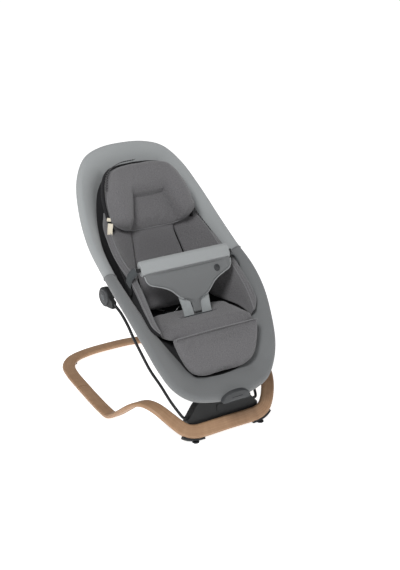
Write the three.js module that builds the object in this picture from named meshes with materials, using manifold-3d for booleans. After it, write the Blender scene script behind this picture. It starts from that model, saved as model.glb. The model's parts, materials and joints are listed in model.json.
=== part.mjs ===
// A baby bouncer seat in millimetres, +Z up, +Y towards the head end, +X to the child's left.
//
// A bent flat-oval loop stands on the floor. A small housing folds on a rod behind its front bar
// and holds one spring-steel wire, whose two arms rise to a round hub on each side of the seat.
// The seat is two bowed tubes in a fabric sleeve with a fabric sling, a padded inlay, a head
// pillow and a T-shaped harness. The origin is on the floor, under the middle of the whole seat.

import * as THREE from 'three';
import { mergeVertices } from 'three/addons/utils/BufferGeometryUtils.js';
import Module from 'manifold-3d';

const wasm = await Module();
wasm.setup();

// ---------------------------------------------------------------- driving dimensions

const GAP = 0.4;                       // clearance between pieces that touch
const MIDDLE_Y = 18.9;                 // brings the middle of the whole seat to the origin

const BAND = { width: 36, thickness: 12, wall: 1.6 };
const BAR = { y: -306, z: 24, slope: 56 };        // front bar, and how far its flat leans back
const CREST = { y: -218, z: 89 };                 // highest point of the base's arched rails
const FLOOR_RAIL = { y: -80, z: 14 };             // where the rails come down to the floor
const TUBE_JOINT = 7.82;                          // where front and rear tubes meet, plan index

const HINGE = { y: -279, z: 23, rodRadius: 4, rodHalf: 97 };
const HOUSING = { y: -291, z: 35, lean: 80, height: 62, depth: 24, cover: 3 };
const WIRE = { radius: 3.75, y: -279, z: 54 };    // the cross part of the wire, inside the housing

const HUB = { x: 201, y: -69, z: 334.5, radius: 25, wall: 2.5, outer: 213, plate: 3 };
const LOCK = { radius: 13.5, pin: 2.8, sweep: 20 };
const AXLE = { radius: 5, head: 9, hole: 5.5 };

const TUBE = { radius: 9, wall: 1.3 };
const SLEEVE = { inner: 9.8, outer: 12 };
const COLLAR = { at: 7.32, halfIndex: 0.11, radius: 11.5, tubeIndex: 0.14, spigot: 4.8 };

const CROTCH = { y: -176, z: 281, lean: 65 };     // where the harness turns, above its slot
const T_BAR = { half: 133, low: 118, high: 154, thickness: 22 };

// Right half of the base in plan, from the middle of the front bar to the middle of the rear bar.
const basePlanHalf = [
  [0, -306], [90, -306], [124, -298], [153, -272], [180, -224], [203, -160], [215, -100],
  [213, -50], [190, 120], [179, 185], [163, 237], [128, 276], [75, 294], [0, 299],
];

// Half of the seat's rim, from the middle of the foot end to the middle of the head end.
const rimHalf = [
  [0, -328, 112], [65, -323, 117], [111, -310, 128], [143, -290, 154], [165, -266, 195],
  [182, -223, 254], [193, -177, 305], [198, -122, 348], [196, -50, 391], [192, 24, 443],
  [176, 96, 514], [150, 148, 576], [113, 178, 616], [65, 191, 631], [0, 195, 635],
];

// The sling's rows: where each meets the rim (rim index) and its lowest line (y, z).
const slingRows = [
  [1.3, -315, 126], [2.6, -302, 138], [3.3, -280, 145], [4.0, -261, 163], [4.7, -241, 200],
  [5.3, -214, 228], [6.1, -172, 231], [6.8, -124, 224], [7.5, -78, 227], [8.2, -28, 270],
  [8.9, 14, 328], [9.6, 50, 390], [10.3, 84, 454], [11.1, 122, 533], [11.8, 150, 588],
  [12.6, 173, 617],
];

// Half of the support wire, from inside the housing to inside the hub.
const wireHalf = [
  [60, -279, 54], [100, -279, 54], [111, -276, 55], [118, -262, 67], [127, -238, 91],
  [138.5, -211.5, 126], [153.5, -188.5, 162], [169.5, -169, 210], [180.5, -153.5, 246.5],
  [189, -140.5, 279], [198, -122.5, 308], [205.5, -109, 323.5], [206.5, -98, 328.5],
];

// Middle line of the inlay's front face (y, z), from the crease up to the head.
const backLine = [[-80, 272], [-38, 319], [5, 376], [36, 439], [73, 505], [110, 570]];

// The raised edge of the inlay's side wing, from the head end to the knee.
const wingEdge = [
  [128, 52, 482], [134, 14, 447], [138, -16, 425], [140, -50, 403], [141, -100, 380],
  [143, -135, 357], [146, -179, 318], [145, -203, 291],
];

// The seam low on the wing that it rises from, station for station with its edge.
const wingFoot = [
  [76, 44, 452], [80, 22, 412], [84, 2, 376], [92, -28, 335], [108, -70, 290],
  [125, -110, 280], [135, -160, 278], [136, -198, 272],
];

// ---------------------------------------------------------------- solids from shapes

const radians = THREE.MathUtils.degToRad;
const vector = ([x, y, z]) => new THREE.Vector3(x, y, z);
const mix = THREE.MathUtils.lerp;

// Position-only copy of a geometry with its shared corners merged.
function bare(geometry) {
  const copy = geometry.index ? geometry.toNonIndexed() : geometry.clone();
  copy.deleteAttribute('normal');
  copy.deleteAttribute('uv');
  return mergeVertices(copy, 1e-3);
}

function toSolid(geometry) {
  const merged = bare(geometry);
  return new wasm.Manifold(new wasm.Mesh({
    numProp: 3,
    vertProperties: new Float32Array(merged.getAttribute('position').array),
    triVerts: new Uint32Array(merged.index.array),
  }));
}

function fromSolid(solid) {
  const mesh = solid.getMesh();
  const geometry = new THREE.BufferGeometry();
  geometry.setAttribute('position', new THREE.BufferAttribute(mesh.vertProperties, 3));
  geometry.setIndex(new THREE.BufferAttribute(mesh.triVerts, 1));
  return geometry;
}

function cut(body, ...tools) {
  const rest = tools.reduce((solid, tool) => solid.subtract(toSolid(tool)), toSolid(body));
  return fromSolid(rest);
}

function join(...bodies) {
  const [first, ...others] = bodies.map(toSolid);
  return fromSolid(others.reduce((solid, other) => solid.add(other), first));
}

// The same solid on the other side of the seat's middle plane.
function mirrored(geometry) {
  const copy = bare(geometry);
  copy.scale(-1, 1, 1);
  const index = copy.index;
  for (let i = 0; i < index.count; i += 3) {
    const swap = index.getX(i);
    index.setX(i, index.getX(i + 1));
    index.setX(i + 1, swap);
  }
  return copy;
}

function circle(radius, count) {
  const points = [];
  for (let i = 0; i < count; i++) {
    const angle = (2 * Math.PI * (i + 0.5)) / count;
    points.push(new THREE.Vector2(radius * Math.cos(angle), radius * Math.sin(angle)));
  }
  return points;
}

function round(radius, count = 10, hole = 0) {
  const shape = new THREE.Shape(circle(radius, count));
  if (hole > 0) shape.holes.push(new THREE.Path(circle(hole, count)));
  return shape;
}

// A flat oval with half-round ends, long side along its own X.
function ovalPoints(width, thickness, arcSteps = 3) {
  const points = [];
  for (const side of [1, -1]) {
    for (let i = 0; i <= arcSteps; i++) {
      const angle = radians(-90 + (180 * i) / arcSteps);
      const x = (width - thickness) / 2 + (Math.cos(angle) * thickness) / 2;
      points.push(new THREE.Vector2(side * x, (side * Math.sin(angle) * thickness) / 2));
    }
  }
  return points;
}

function ovalTube(width, thickness, wall) {
  const shape = new THREE.Shape(ovalPoints(width, thickness));
  const inside = ovalPoints(width - 2 * wall, thickness - 2 * wall);
  if (wall > 0) shape.holes.push(new THREE.Path(inside));
  return shape;
}

function polygon(points) {
  return new THREE.Shape(points.map(([x, y]) => new THREE.Vector2(x, y)));
}

function extrude(shape, depth, curveSegments = 6) {
  return new THREE.ExtrudeGeometry(shape, { depth, bevelEnabled: false, curveSegments });
}

// A shape drawn in Y and Z, extruded along X from one place to another.
function extrudeX(shape, from, to, curveSegments = 6) {
  const solid = extrude(shape, to - from, curveSegments);
  const turn = new THREE.Matrix4().set(0, 0, 1, from, 1, 0, 0, 0, 0, 1, 0, 0, 0, 0, 0, 1);
  return solid.applyMatrix4(turn);
}

function block(x0, x1, y0, y1, z0, z1) {
  const solid = new THREE.BoxGeometry(x1 - x0, y1 - y0, z1 - z0);
  return solid.translate((x0 + x1) / 2, (y0 + y1) / 2, (z0 + z1) / 2);
}

// A rod along X, centred on a point of the YZ plane.
function rodX(radius, from, to, y, z, sides = 16) {
  return extrudeX(round(radius, sides), from, to).translate(0, y, z);
}

// A section carried along a path. frameAt(t) gives the place and the section's two directions.
function sweep(section, frameAt, steps) {
  const options = { depth: 1, steps, bevelEnabled: false, curveSegments: 6 };
  const solid = new THREE.ExtrudeGeometry(section, options);
  const position = solid.getAttribute('position');
  for (let i = 0; i < position.count; i++) {
    const { origin, across, normal } = frameAt(position.getZ(i));
    const point = origin.clone();
    point.addScaledVector(across, position.getX(i)).addScaledVector(normal, position.getY(i));
    position.setXYZ(i, point.x, point.y, point.z);
  }
  return solid;
}

// Frames along part of a curve, with the section's Y kept close to a reference direction.
function framesAlong(curve, from, to, reference) {
  return (t) => {
    const raw = mix(from, to, t);
    const s = raw - Math.floor(raw);
    const origin = curve.getPoint(s);
    const tangent = curve.getTangent(s);
    const normal = reference.clone().addScaledVector(tangent, -reference.dot(tangent)).normalize();
    return { origin, across: normal.clone().cross(tangent), normal };
  };
}

// A box of cells whose corners are carried to place(a, b, c), each of a, b, c from 0 to 1.
function mappedBox(cellsA, cellsB, cellsC, place) {
  const solid = new THREE.BoxGeometry(1, 1, 1, cellsA, cellsB, cellsC);
  const position = solid.getAttribute('position');
  for (let i = 0; i < position.count; i++) {
    const a = position.getX(i) + 0.5;
    const b = position.getY(i) + 0.5;
    const c = position.getZ(i) + 0.5;
    const point = place(a, b, c);
    position.setXYZ(i, point.x, point.y, point.z);
  }
  return solid;
}

// A coil spring along Z, drawn at the length it has when pressed.
function coil(radius, wire, length, turns) {
  const frameAt = (t) => {
    const angle = 2 * Math.PI * turns * t;
    const out = new THREE.Vector3(Math.cos(angle), Math.sin(angle), 0);
    const origin = out.clone().multiplyScalar(radius).setZ(mix(wire, length - wire, t));
    const pitch = (length - 2 * wire) / (2 * Math.PI * turns);
    const tangent = new THREE.Vector3(-radius * out.y, radius * out.x, pitch).normalize();
    return { origin, across: out.clone().cross(tangent), normal: out };
  };
  return sweep(round(wire, 5), frameAt, turns * 9);
}

// ---------------------------------------------------------------- the scene graph

const bouncer = new THREE.Group();
bouncer.name = 'bouncer_seat';
bouncer.position.y = MIDDLE_Y;

const finishes = {
  wood: [0x9c7858, 0.55, 0],
  steel: [0xa8abad, 0.35, 1],
  blackWire: [0x1c1d1e, 0.4, 0.6],
  plastic: [0x3a3c3d, 0.5, 0],
  button: [0x45484a, 0.45, 0],
  rubber: [0x232425, 0.85, 0],
  lightFabric: [0x8b9092, 0.9, 0],
  darkFabric: [0x6d6f70, 0.9, 0],
  inlay: [0x5c5c5e, 0.95, 0],
  harness: [0x686b6c, 0.9, 0],
  webbing: [0x50565a, 0.9, 0],
};

function add(name, geometry, finish, parent = bouncer) {
  const [color, roughness, metalness] = finishes[finish];
  const mesh = new THREE.Mesh(geometry, new THREE.MeshStandardMaterial({ color, roughness, metalness }));
  mesh.name = name;
  parent.add(mesh);
  return mesh;
}

// Adds a piece on the child's left and its mirror image on the right.
function addPair(name, geometry, finish, parent = bouncer) {
  add(`${name}_left`, geometry, finish, parent);
  add(`${name}_right`, mirrored(geometry), finish, parent);
}

// A group whose Y runs up a leaning face and whose Z points out of its front.
function leaningGroup(y, z, lean) {
  const group = new THREE.Group();
  group.position.set(0, y, z);
  group.rotation.x = radians(lean);
  bouncer.add(group);
  return group;
}

// ---------------------------------------------------------------- base

function closedCurve(half) {
  const other = half.slice(1, -1).reverse().map(([x, y, z]) => [-x, y, z]);
  return new THREE.CatmullRomCurve3([...half, ...other].map(vector), true, 'centripetal');
}

const basePlan = closedCurve(basePlanHalf.map(([x, y]) => [x, y, 0]));
const basePoints = basePlan.points.length;

// Height of the rails over the floor, and its slope, at a place along Y.
function railHeight(y) {
  if (y >= FLOOR_RAIL.y) return { height: FLOOR_RAIL.z, slope: 0 };
  if (y >= CREST.y) {
    const run = FLOOR_RAIL.y - CREST.y;
    const t = (y - CREST.y) / run;
    const drop = CREST.z - FLOOR_RAIL.z;
    return { height: CREST.z - drop * t * t * (3 - 2 * t), slope: (-6 * drop * t * (1 - t)) / run };
  }
  const run = CREST.y - BAR.y;
  const t = Math.max(0, (y - BAR.y) / run);
  const start = Math.tan(radians(BAR.slope)) * run;
  const rise = CREST.z - BAR.z;
  const height = BAR.z + start * (t ** 3 - 2 * t ** 2 + t) + rise * t * t * (3 - 2 * t);
  const slope = (start * (3 * t * t - 4 * t + 1) + 6 * rise * t * (1 - t)) / run;
  return { height, slope };
}

// Frames along the base, from one plan index to another. The band lies flat on the rails' profile.
function baseFrames(from, to) {
  return (t) => {
    const raw = mix(from, to, t) / basePoints;
    const s = raw - Math.floor(raw);
    const plan = basePlan.getPoint(s);
    const { height, slope } = railHeight(plan.y);
    const direction = basePlan.getTangent(s);
    const tangent = new THREE.Vector3(direction.x, direction.y, direction.y * slope).normalize();
    const normal = new THREE.Vector3(0, -slope, 1).normalize();
    const origin = new THREE.Vector3(plan.x, plan.y, height);
    return { origin, across: normal.clone().cross(tangent), normal };
  };
}

const jointGap = 0.006;
const tubeSection = ovalTube(BAND.width, BAND.thickness, BAND.wall);
const frontEnd = TUBE_JOINT - jointGap;
const rearEnd = TUBE_JOINT + jointGap;
add('base_front_tube', sweep(tubeSection, baseFrames(-frontEnd, frontEnd), 36), 'wood');
add('base_rear_tube', sweep(tubeSection, baseFrames(rearEnd, basePoints - rearEnd), 22), 'wood');

const spigotWidth = BAND.width - 2 * BAND.wall - 2;
const spigotSection = ovalTube(spigotWidth, BAND.thickness - 2 * BAND.wall - 1, 0);
const spigotFrames = baseFrames(TUBE_JOINT - 0.16, TUBE_JOINT + 0.16);
addPair('base_spigot', sweep(spigotSection, spigotFrames, 2), 'steel');

// The band with a small gap all round, for cutting the pieces that it rests on.
const shoeFrames = baseFrames(0.8, 1.95);
const bandSection = ovalTube(BAND.width + 5 * GAP, BAND.thickness + 5 * GAP, 0);
const bandSpace = sweep(bandSection, baseFrames(0.6, 2.6), 10);
const shoeSection = polygon([[-23, -9.5], [-9, -9.5], [-9, 2], [-23, 2]]);
const padTop = 3.2;
const belowShoe = block(50, 180, -360, -220, -30, padTop);
addPair('front_foot_shoe', cut(sweep(shoeSection, shoeFrames, 6), bandSpace, belowShoe), 'rubber');

function disc(radius, x, y, z0, z1, sides = 20) {
  return extrude(round(radius, sides), z1 - z0).translate(x, y, z0);
}

addPair('front_foot_pad', disc(9, 100, -313, 0, padTop - GAP), 'rubber');
addPair('rear_foot', disc(11, 128, 276, 0, FLOOR_RAIL.z - BAND.thickness / 2 - GAP), 'rubber');

// Bracket behind the front bar: a plate on the bar's back face and an eye round the hinge rod.
function hingeBracket() {
  const lean = radians(BAR.slope);
  const up = [Math.cos(lean), Math.sin(lean)];
  const back = [Math.sin(lean), -Math.cos(lean)];
  const at = (u, v) => [BAR.y + u * up[0] + v * back[0], BAR.z + u * up[1] + v * back[1]];
  const face = BAND.thickness / 2 + GAP;
  const plate = polygon([at(-6, face), at(9, face), at(9, face + 4), at(-6, face + 4)]);
  const arm = polygon([at(-6, face + 1), at(5, face + 1), [HINGE.y, HINGE.z + 6], [HINGE.y, HINGE.z - 7]]);
  const eye = rodX(9, 84, 93, HINGE.y, HINGE.z, 20);
  const whole = join(extrudeX(plate, 72, 96), extrudeX(arm, 84, 93), eye);
  return cut(whole, rodX(HINGE.rodRadius + 0.35, 80, 98, HINGE.y, HINGE.z));
}

addPair('hinge_bracket', hingeBracket(), 'plastic');
add('hinge_rod', rodX(HINGE.rodRadius, -HINGE.rodHalf, HINGE.rodHalf, HINGE.y, HINGE.z), 'steel');

function latchStrike() {
  const collar = rodX(8.8, -7, 7, HINGE.y, HINGE.z, 20);
  const bore = rodX(HINGE.rodRadius + 0.35, -9, 9, HINGE.y, HINGE.z);
  const notch = block(-9, 9, HINGE.y - 2.4, HINGE.y + 2.4, HINGE.z + 5.6, HINGE.z + 12);
  return cut(collar, bore, notch);
}

add('latch_strike', latchStrike(), 'steel');

// ---------------------------------------------------------------- folding housing

const housing = leaningGroup(HOUSING.y, HOUSING.z, HOUSING.lean);
const wireUp = 20.8;                   // the wire's cross part in the housing's own Y and Z
const wireIn = -8.5;
const hingeUp = -9.7;                  // the hinge rod in the same axes
const hingeIn = -13.9;

function housingOutline(inset) {
  const w = (half) => half - inset;
  const low = inset;
  const high = HOUSING.height - inset;
  return polygon([
    [-w(100), low], [w(100), low], [w(107), low + 6], [w(107), 13], [w(79), 45], [w(66), high - 6],
    [w(60), high], [-w(60), high], [-w(66), high - 6], [-w(79), 45], [-w(107), 13], [-w(107), low + 6],
  ]);
}

function roundedRect(width, height, corner) {
  const x = width / 2;
  const y = height / 2;
  const shape = new THREE.Shape();
  shape.moveTo(-x + corner, -y);
  shape.lineTo(x - corner, -y);
  shape.absarc(x - corner, -y + corner, corner, -Math.PI / 2, 0);
  shape.absarc(x - corner, y - corner, corner, 0, Math.PI / 2);
  shape.absarc(-x + corner, y - corner, corner, Math.PI / 2, Math.PI);
  shape.absarc(-x + corner, -y + corner, corner, Math.PI, 1.5 * Math.PI);
  return shape;
}

const BUTTON = { width: 37, height: 20, y: 25 };
const BARREL = { middle: 49, half: 31, radius: 8.6 };   // the two barrels round the hinge rod

function housingFront() {
  const cover = extrude(housingOutline(0), HOUSING.cover).translate(0, 0, -HOUSING.cover);
  const window = extrude(roundedRect(BUTTON.width + 1, BUTTON.height + 1, 5.5), 20, 3);
  return cut(cover, window.translate(0, BUTTON.y, -10));
}

function housingRear() {
  const front = -HOUSING.cover - GAP;
  const outer = extrude(housingOutline(0), HOUSING.depth + front).translate(0, 0, -HOUSING.depth);
  const pocket = extrude(housingOutline(4), HOUSING.depth).translate(0, 0, 4 - HOUSING.depth);
  const wireHole = rodX(WIRE.radius + 0.8, -140, 140, wireUp, wireIn);
  const boltHole = block(-6.6, 6.6, -5, 9, hingeIn - 2.8, hingeIn + 1.6);
  const shell = cut(outer, pocket, wireHole, boltHole);
  const barrels = [1, -1].map((side) => {
    const from = side * BARREL.middle - BARREL.half;
    const to = side * BARREL.middle + BARREL.half;
    const barrel = rodX(BARREL.radius, from, to, hingeUp, hingeIn, 20);
    const web = block(from, to, -6, 2, hingeIn - 6, hingeIn + 6);
    return join(barrel, web);
  });
  const whole = join(shell, ...barrels);
  return cut(whole, rodX(HINGE.rodRadius + 0.35, -120, 120, hingeUp, hingeIn));
}

add('housing_front', housingFront(), 'plastic', housing);
add('housing_rear', housingRear(), 'plastic', housing);

// The button's cap, with a ramp behind it that lifts the latch bolt as the button goes in.
function foldButton() {
  const cap = extrude(roundedRect(BUTTON.width, BUTTON.height, 5), 2.4, 3).translate(0, BUTTON.y, -1.2);
  const ramp = polygon([[26.4, -1], [26.4, -9.2], [28.5, -9.2], [31.5, -6.2], [31.5, -1]]);
  return join(cap, extrudeX(ramp, -5, 5));
}

function latchBolt() {
  const tip = hingeUp + 9.4;
  const profile = polygon([
    [tip, -12.8], [tip, -16], [40, -16], [40, -12.8],
    [34.5, -12.8], [33.6, -8.6], [29.7, -8.6], [25.5, -12.8],
  ]);
  return extrudeX(profile, -5.5, 5.5);
}

add('fold_button', foldButton(), 'button', housing);
add('latch_bolt', latchBolt(), 'steel', housing);
const latchCoil = coil(3.1, 0.7, 12, 3).rotateX(-Math.PI / 2);
add('latch_spring', latchCoil.translate(0, 43.2, -14.4), 'steel', housing);

// ---------------------------------------------------------------- wire and hubs

const wirePath = new THREE.CatmullRomCurve3(
  [...wireHalf.slice().reverse().map(([x, y, z]) => [-x, y, z]), ...wireHalf].map(vector),
  false, 'centripetal',
);
const wireFacing = new THREE.Vector3(0, 0.85, -0.53);
const wireFrames = framesAlong(wirePath, 0.0003, 0.9997, wireFacing);
add('support_wire', sweep(round(WIRE.radius, 8), wireFrames, 46), 'blackWire');

const wireArm = framesAlong(wirePath, 0.86, 0.99999, wireFacing);
const wireSpace = sweep(round(WIRE.radius + 0.9, 10), wireArm, 12);

const hubBack = HUB.x + HUB.plate;     // inner face of the cup's back wall
const pinAt = { y: HUB.y, z: HUB.z - LOCK.radius };

function hubHousing() {
  const cup = rodX(HUB.radius, HUB.x, HUB.outer, HUB.y, HUB.z, 24);
  const neck = new THREE.Shape([
    new THREE.Vector2(HUB.y - 41, HUB.z - 20), new THREE.Vector2(HUB.y - 12, HUB.z - 23),
    new THREE.Vector2(HUB.y - 16, HUB.z + 10), new THREE.Vector2(HUB.y - 41, HUB.z - 3),
  ]);
  const outside = join(cup, extrudeX(neck, HUB.x, HUB.outer));
  const inside = rodX(HUB.radius - HUB.wall, hubBack, HUB.outer + 5, HUB.y, HUB.z, 24);
  const axleHole = rodX(AXLE.hole, HUB.x - 5, HUB.outer, HUB.y, HUB.z);
  const pinHole = rodX(LOCK.pin + 0.5, HUB.x - 5, HUB.outer, pinAt.y, pinAt.z, 12);
  return cut(outside, inside, axleHole, pinHole, wireSpace);
}

addPair('hub_housing', hubHousing(), 'plastic');

function hubAxle() {
  const inner = HUB.x - 24;
  const profile = [
    [0, inner - 5.5], [AXLE.head, inner - 5.5], [AXLE.head, inner], [AXLE.radius, inner],
    [AXLE.radius, hubBack + GAP], [8, hubBack + GAP], [8, hubBack + 4], [0, hubBack + 4],
  ];
  const points = profile.map(([r, x]) => new THREE.Vector2(r, x));
  const axle = new THREE.LatheGeometry(points, 14);
  return axle.rotateZ(-Math.PI / 2).translate(0, HUB.y, HUB.z);
}

const hubCoil = coil(10, 0.4, 4.2, 3).rotateY(Math.PI / 2);
addPair('hub_axle', hubAxle(), 'steel');
addPair('hub_spring', hubCoil.translate(hubBack + GAP, HUB.y, HUB.z), 'steel');

const HUB_BUTTON = {
  radius: HUB.radius - HUB.wall - 0.6, low: hubBack + 5, disc: hubBack + 9, face: HUB.outer + 3.5,
};

function hubButton() {
  const { radius, low, disc: under, face } = HUB_BUTTON;
  const inner = radius - 2.4;
  const profile = [
    [0, under], [inner, under], [inner, low], [radius, low],
    [radius, face - 2], [radius - 2, face - 0.6], [0, face],
  ];
  const points = profile.map(([r, x]) => new THREE.Vector2(r, x));
  return new THREE.LatheGeometry(points, 24).rotateZ(-Math.PI / 2).translate(0, HUB.y, HUB.z);
}

const pinTip = HUB.x - HUB.plate - 0.5;
addPair('hub_button', hubButton(), 'button');
addPair('lock_pin', rodX(LOCK.pin, pinTip, HUB_BUTTON.disc - GAP, pinAt.y, pinAt.z, 12), 'steel');

// ---------------------------------------------------------------- seat frame

const rim = closedCurve(rimHalf);
const rimPoints = rim.points.length;
const rimFacing = new THREE.Vector3(0, -0.6, 0.8);
const rimFrames = (from, to) => framesAlong(rim, from / rimPoints, to / rimPoints, rimFacing);

// Bracket on each side: spigots for both rim tubes, a collar between them, and a boss on the hub.
function rimBracket() {
  const middle = rimFrames(COLLAR.at, COLLAR.at)(0);
  const along = rim.getTangent(COLLAR.at / rimPoints);
  const turn = new THREE.Quaternion().setFromUnitVectors(new THREE.Vector3(0, 0, 1), along);
  const collarLength = rim.getPoint((COLLAR.at - COLLAR.halfIndex) / rimPoints)
    .distanceTo(rim.getPoint((COLLAR.at + COLLAR.halfIndex) / rimPoints));
  const spigotLength = collarLength + 36;
  const stick = (radius, length, sides) => extrude(round(radius, sides), length)
    .translate(0, 0, -length / 2).applyQuaternion(turn).translate(...middle.origin.toArray());
  const { y, z } = middle.origin;
  const tang = polygon([[HUB.y - 9, HUB.z], [HUB.y + 9, HUB.z], [y + 7, z], [y - 7, z]]);
  const boss = rodX(9.5, HUB.x - 23.5, HUB.x - 4, HUB.y, HUB.z, 16);
  const collar = stick(COLLAR.radius, collarLength, 18);
  const spigots = stick(COLLAR.spigot, spigotLength, 10);
  const whole = join(collar, spigots, extrudeX(tang, HUB.x - 18, HUB.x - 6), boss);
  return cut(whole, rodX(AXLE.hole, HUB.x - 34, HUB.x + 5, HUB.y, HUB.z));
}

addPair('rim_bracket', rimBracket(), 'plastic');

// Steel plate on the seat side of the hub. The lock pin runs in its arc-shaped slot.
function detentPlate() {
  const plate = new THREE.Shape(circle(20, 24));
  plate.holes.push(new THREE.Path(circle(AXLE.hole, 16)));
  const slot = new THREE.Path();
  const half = LOCK.pin + 0.5;
  const start = radians(-90 - 1);
  const end = radians(-90 + LOCK.sweep + 1);
  const centre = (angle) => [LOCK.radius * Math.cos(angle), LOCK.radius * Math.sin(angle)];
  slot.absarc(0, 0, LOCK.radius + half, start, end, false);
  slot.absarc(...centre(end), half, end, end + Math.PI, false);
  slot.absarc(0, 0, LOCK.radius - half, end, start, true);
  slot.absarc(...centre(start), half, start - Math.PI, start, false);
  plate.holes.push(slot);
  return extrudeX(plate, HUB.x - 3.6, HUB.x - 0.6, 4).translate(0, HUB.y, HUB.z);
}

addPair('detent_plate', detentPlate(), 'steel');

const rimTube = round(TUBE.radius, 8, TUBE.radius - TUBE.wall);
const rimSleeve = round(SLEEVE.outer, 8, SLEEVE.inner);
const rimSteps = 20;
const upperFrom = COLLAR.at + COLLAR.tubeIndex;
const lowerTo = COLLAR.at - COLLAR.tubeIndex;
const upperFrames = rimFrames(upperFrom, rimPoints - upperFrom);
const lowerFrames = rimFrames(-lowerTo, lowerTo);
add('seat_tube_upper', sweep(rimTube, upperFrames, rimSteps), 'steel');
add('seat_tube_lower', sweep(rimTube, lowerFrames, rimSteps), 'steel');
add('rim_sleeve_upper', sweep(rimSleeve, upperFrames, rimSteps), 'lightFabric');
add('rim_sleeve_lower', sweep(rimSleeve, lowerFrames, rimSteps), 'darkFabric');

// ---------------------------------------------------------------- sling

const SLING = { inset: 17, thickness: 2.4, floor: 0.8, lip: 0.9, lipDrop: 0.12 };

// How far the sling has dropped from the rim to its lowest line, at a place across it.
function slingDrop(u, endness) {
  const bowl = 1 - u * u;
  const side = Math.abs(u);
  const wall = THREE.MathUtils.smoothstep(SLING.lip - side, 0, SLING.lip - SLING.floor);
  const lip = SLING.lipDrop * THREE.MathUtils.clamp((1 - side) / (1 - SLING.lip), 0, 1);
  return mix(lip + (1 - SLING.lipDrop) * wall, bowl, endness);
}

const slingCurve = new THREE.CatmullRomCurve3(slingRows.map(([, y, z]) => new THREE.Vector3(0, y, z)));

function slingPoint(u, row) {
  const last = slingRows.length - 1;
  const lower = Math.min(Math.floor(row), last - 1);
  const index = mix(slingRows[lower][0], slingRows[lower + 1][0], row - lower);
  const { origin, across } = rimFrames(index, index)(0);
  const edge = origin.addScaledVector(across, SLING.inset);
  const low = slingCurve.getPoint(row / last);
  const endness = Math.max(1 - row / 3, 1 - (last - row) / 3, 0);
  const drop = slingDrop(u, endness);
  return new THREE.Vector3(u * edge.x, mix(edge.y, low.y, drop), mix(edge.z, low.z, drop));
}

// A thin panel of the sling between two rows. c runs through its thickness, out of the seat's front.
function slingPanel(fromRow, toRow, cellsAlong) {
  const step = 0.01;
  return mappedBox(14, cellsAlong, 1, (a, b, c) => {
    const u = 2 * a - 1;
    const row = mix(fromRow, toRow, b);
    const point = slingPoint(u, row);
    const acrossWay = slingPoint(Math.min(u + step, 1), row).sub(slingPoint(Math.max(u - step, -1), row));
    const alongWay = slingPoint(u, row + step).sub(slingPoint(u, row - step));
    const normal = acrossWay.cross(alongWay).normalize();
    return point.addScaledVector(normal, (c - 0.5) * SLING.thickness);
  });
}

const seamRow = 8.2;
add('sling_upper', slingPanel(seamRow + 0.05, 14.9, 8), 'lightFabric');
add('sling_lower', slingPanel(0.1, seamRow - 0.05, 11), 'darkFabric');

// ---------------------------------------------------------------- inlay

const backCurve = new THREE.CatmullRomCurve3(backLine.map(([y, z]) => new THREE.Vector3(0, y, z)));

// A point on the back's front face, and the direction out of it, at t from crease to head.
function backFace(t) {
  const point = backCurve.getPoint(t);
  const along = backCurve.getTangent(t);
  return { point, out: new THREE.Vector3(0, -along.z, along.y) };
}

const BACK = { thickness: 16, low: 68, high: 100 };

function backPad() {
  return mappedBox(6, 8, 1, (a, b, c) => {
    const { point, out } = backFace(b);
    const half = b < 0.6 ? mix(84, BACK.low, b / 0.6) : mix(BACK.low, BACK.high, (b - 0.6) / 0.4);
    const x = (2 * a - 1) * (half - 3);
    const hollow = (x / 100) ** 2 * 14;
    return point.clone().addScaledVector(out, hollow + (c - 1) * BACK.thickness).setX(x);
  });
}

add('back_pad', backPad(), 'inlay');

// The wing rises from the back's side seam to its raised edge, hollow towards the child.
const wingTop = new THREE.CatmullRomCurve3(wingEdge.map(vector));
const wingLow = new THREE.CatmullRomCurve3(wingFoot.map(vector));
const WING = { thickness: 6, hollow: 9 };

function sideWing() {
  const face = (up, along) => {
    const point = wingLow.getPoint(along).lerp(wingTop.getPoint(along), up);
    const bulge = Math.sin(Math.PI * up) * WING.hollow;
    return point.add(new THREE.Vector3(bulge * 0.8, 0, -bulge * 0.6));
  };
  const step = 0.01;
  return mappedBox(4, 12, 1, (a, b, c) => {
    const along = 1 - b;
    const rise = face(Math.min(a + step, 1), along).sub(face(Math.max(a - step, 0), along));
    const run = face(a, Math.max(along - step, 0)).sub(face(a, Math.min(along + step, 1)));
    const normal = rise.cross(run).normalize();
    return face(a, along).addScaledVector(normal, (c - 1) * WING.thickness);
  });
}

addPair('side_wing', sideWing(), 'inlay');

const SEAT = { back: -98, front: -244, half: 126, thickness: 25, slotHalf: 55 };

function seatPad() {
  const pad = mappedBox(8, 6, 1, (a, b, c) => {
    const u = 2 * a - 1;
    const y = mix(SEAT.front, SEAT.back, b);
    const half = b < 0.6 ? SEAT.half : mix(SEAT.half, 104, (b - 0.6) / 0.4);
    const crown = 11 * Math.sin(Math.PI * b) * (1 - u ** 4);
    const thickness = SEAT.thickness * Math.min(1, 0.2 + b / 0.25);
    return new THREE.Vector3(u * half, y + 10 * b * (1 - u * u), 264 + crown * c - (1 - c) * thickness);
  });
  const slot = block(-SEAT.slotHalf, SEAT.slotHalf, CROTCH.y - 5, CROTCH.y + 4, 200, 320);
  return cut(pad, slot);
}

add('seat_pad', seatPad(), 'inlay');

const LEG = { top: [-251, 256], low: [-292, 160], thickness: 16 };

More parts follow.
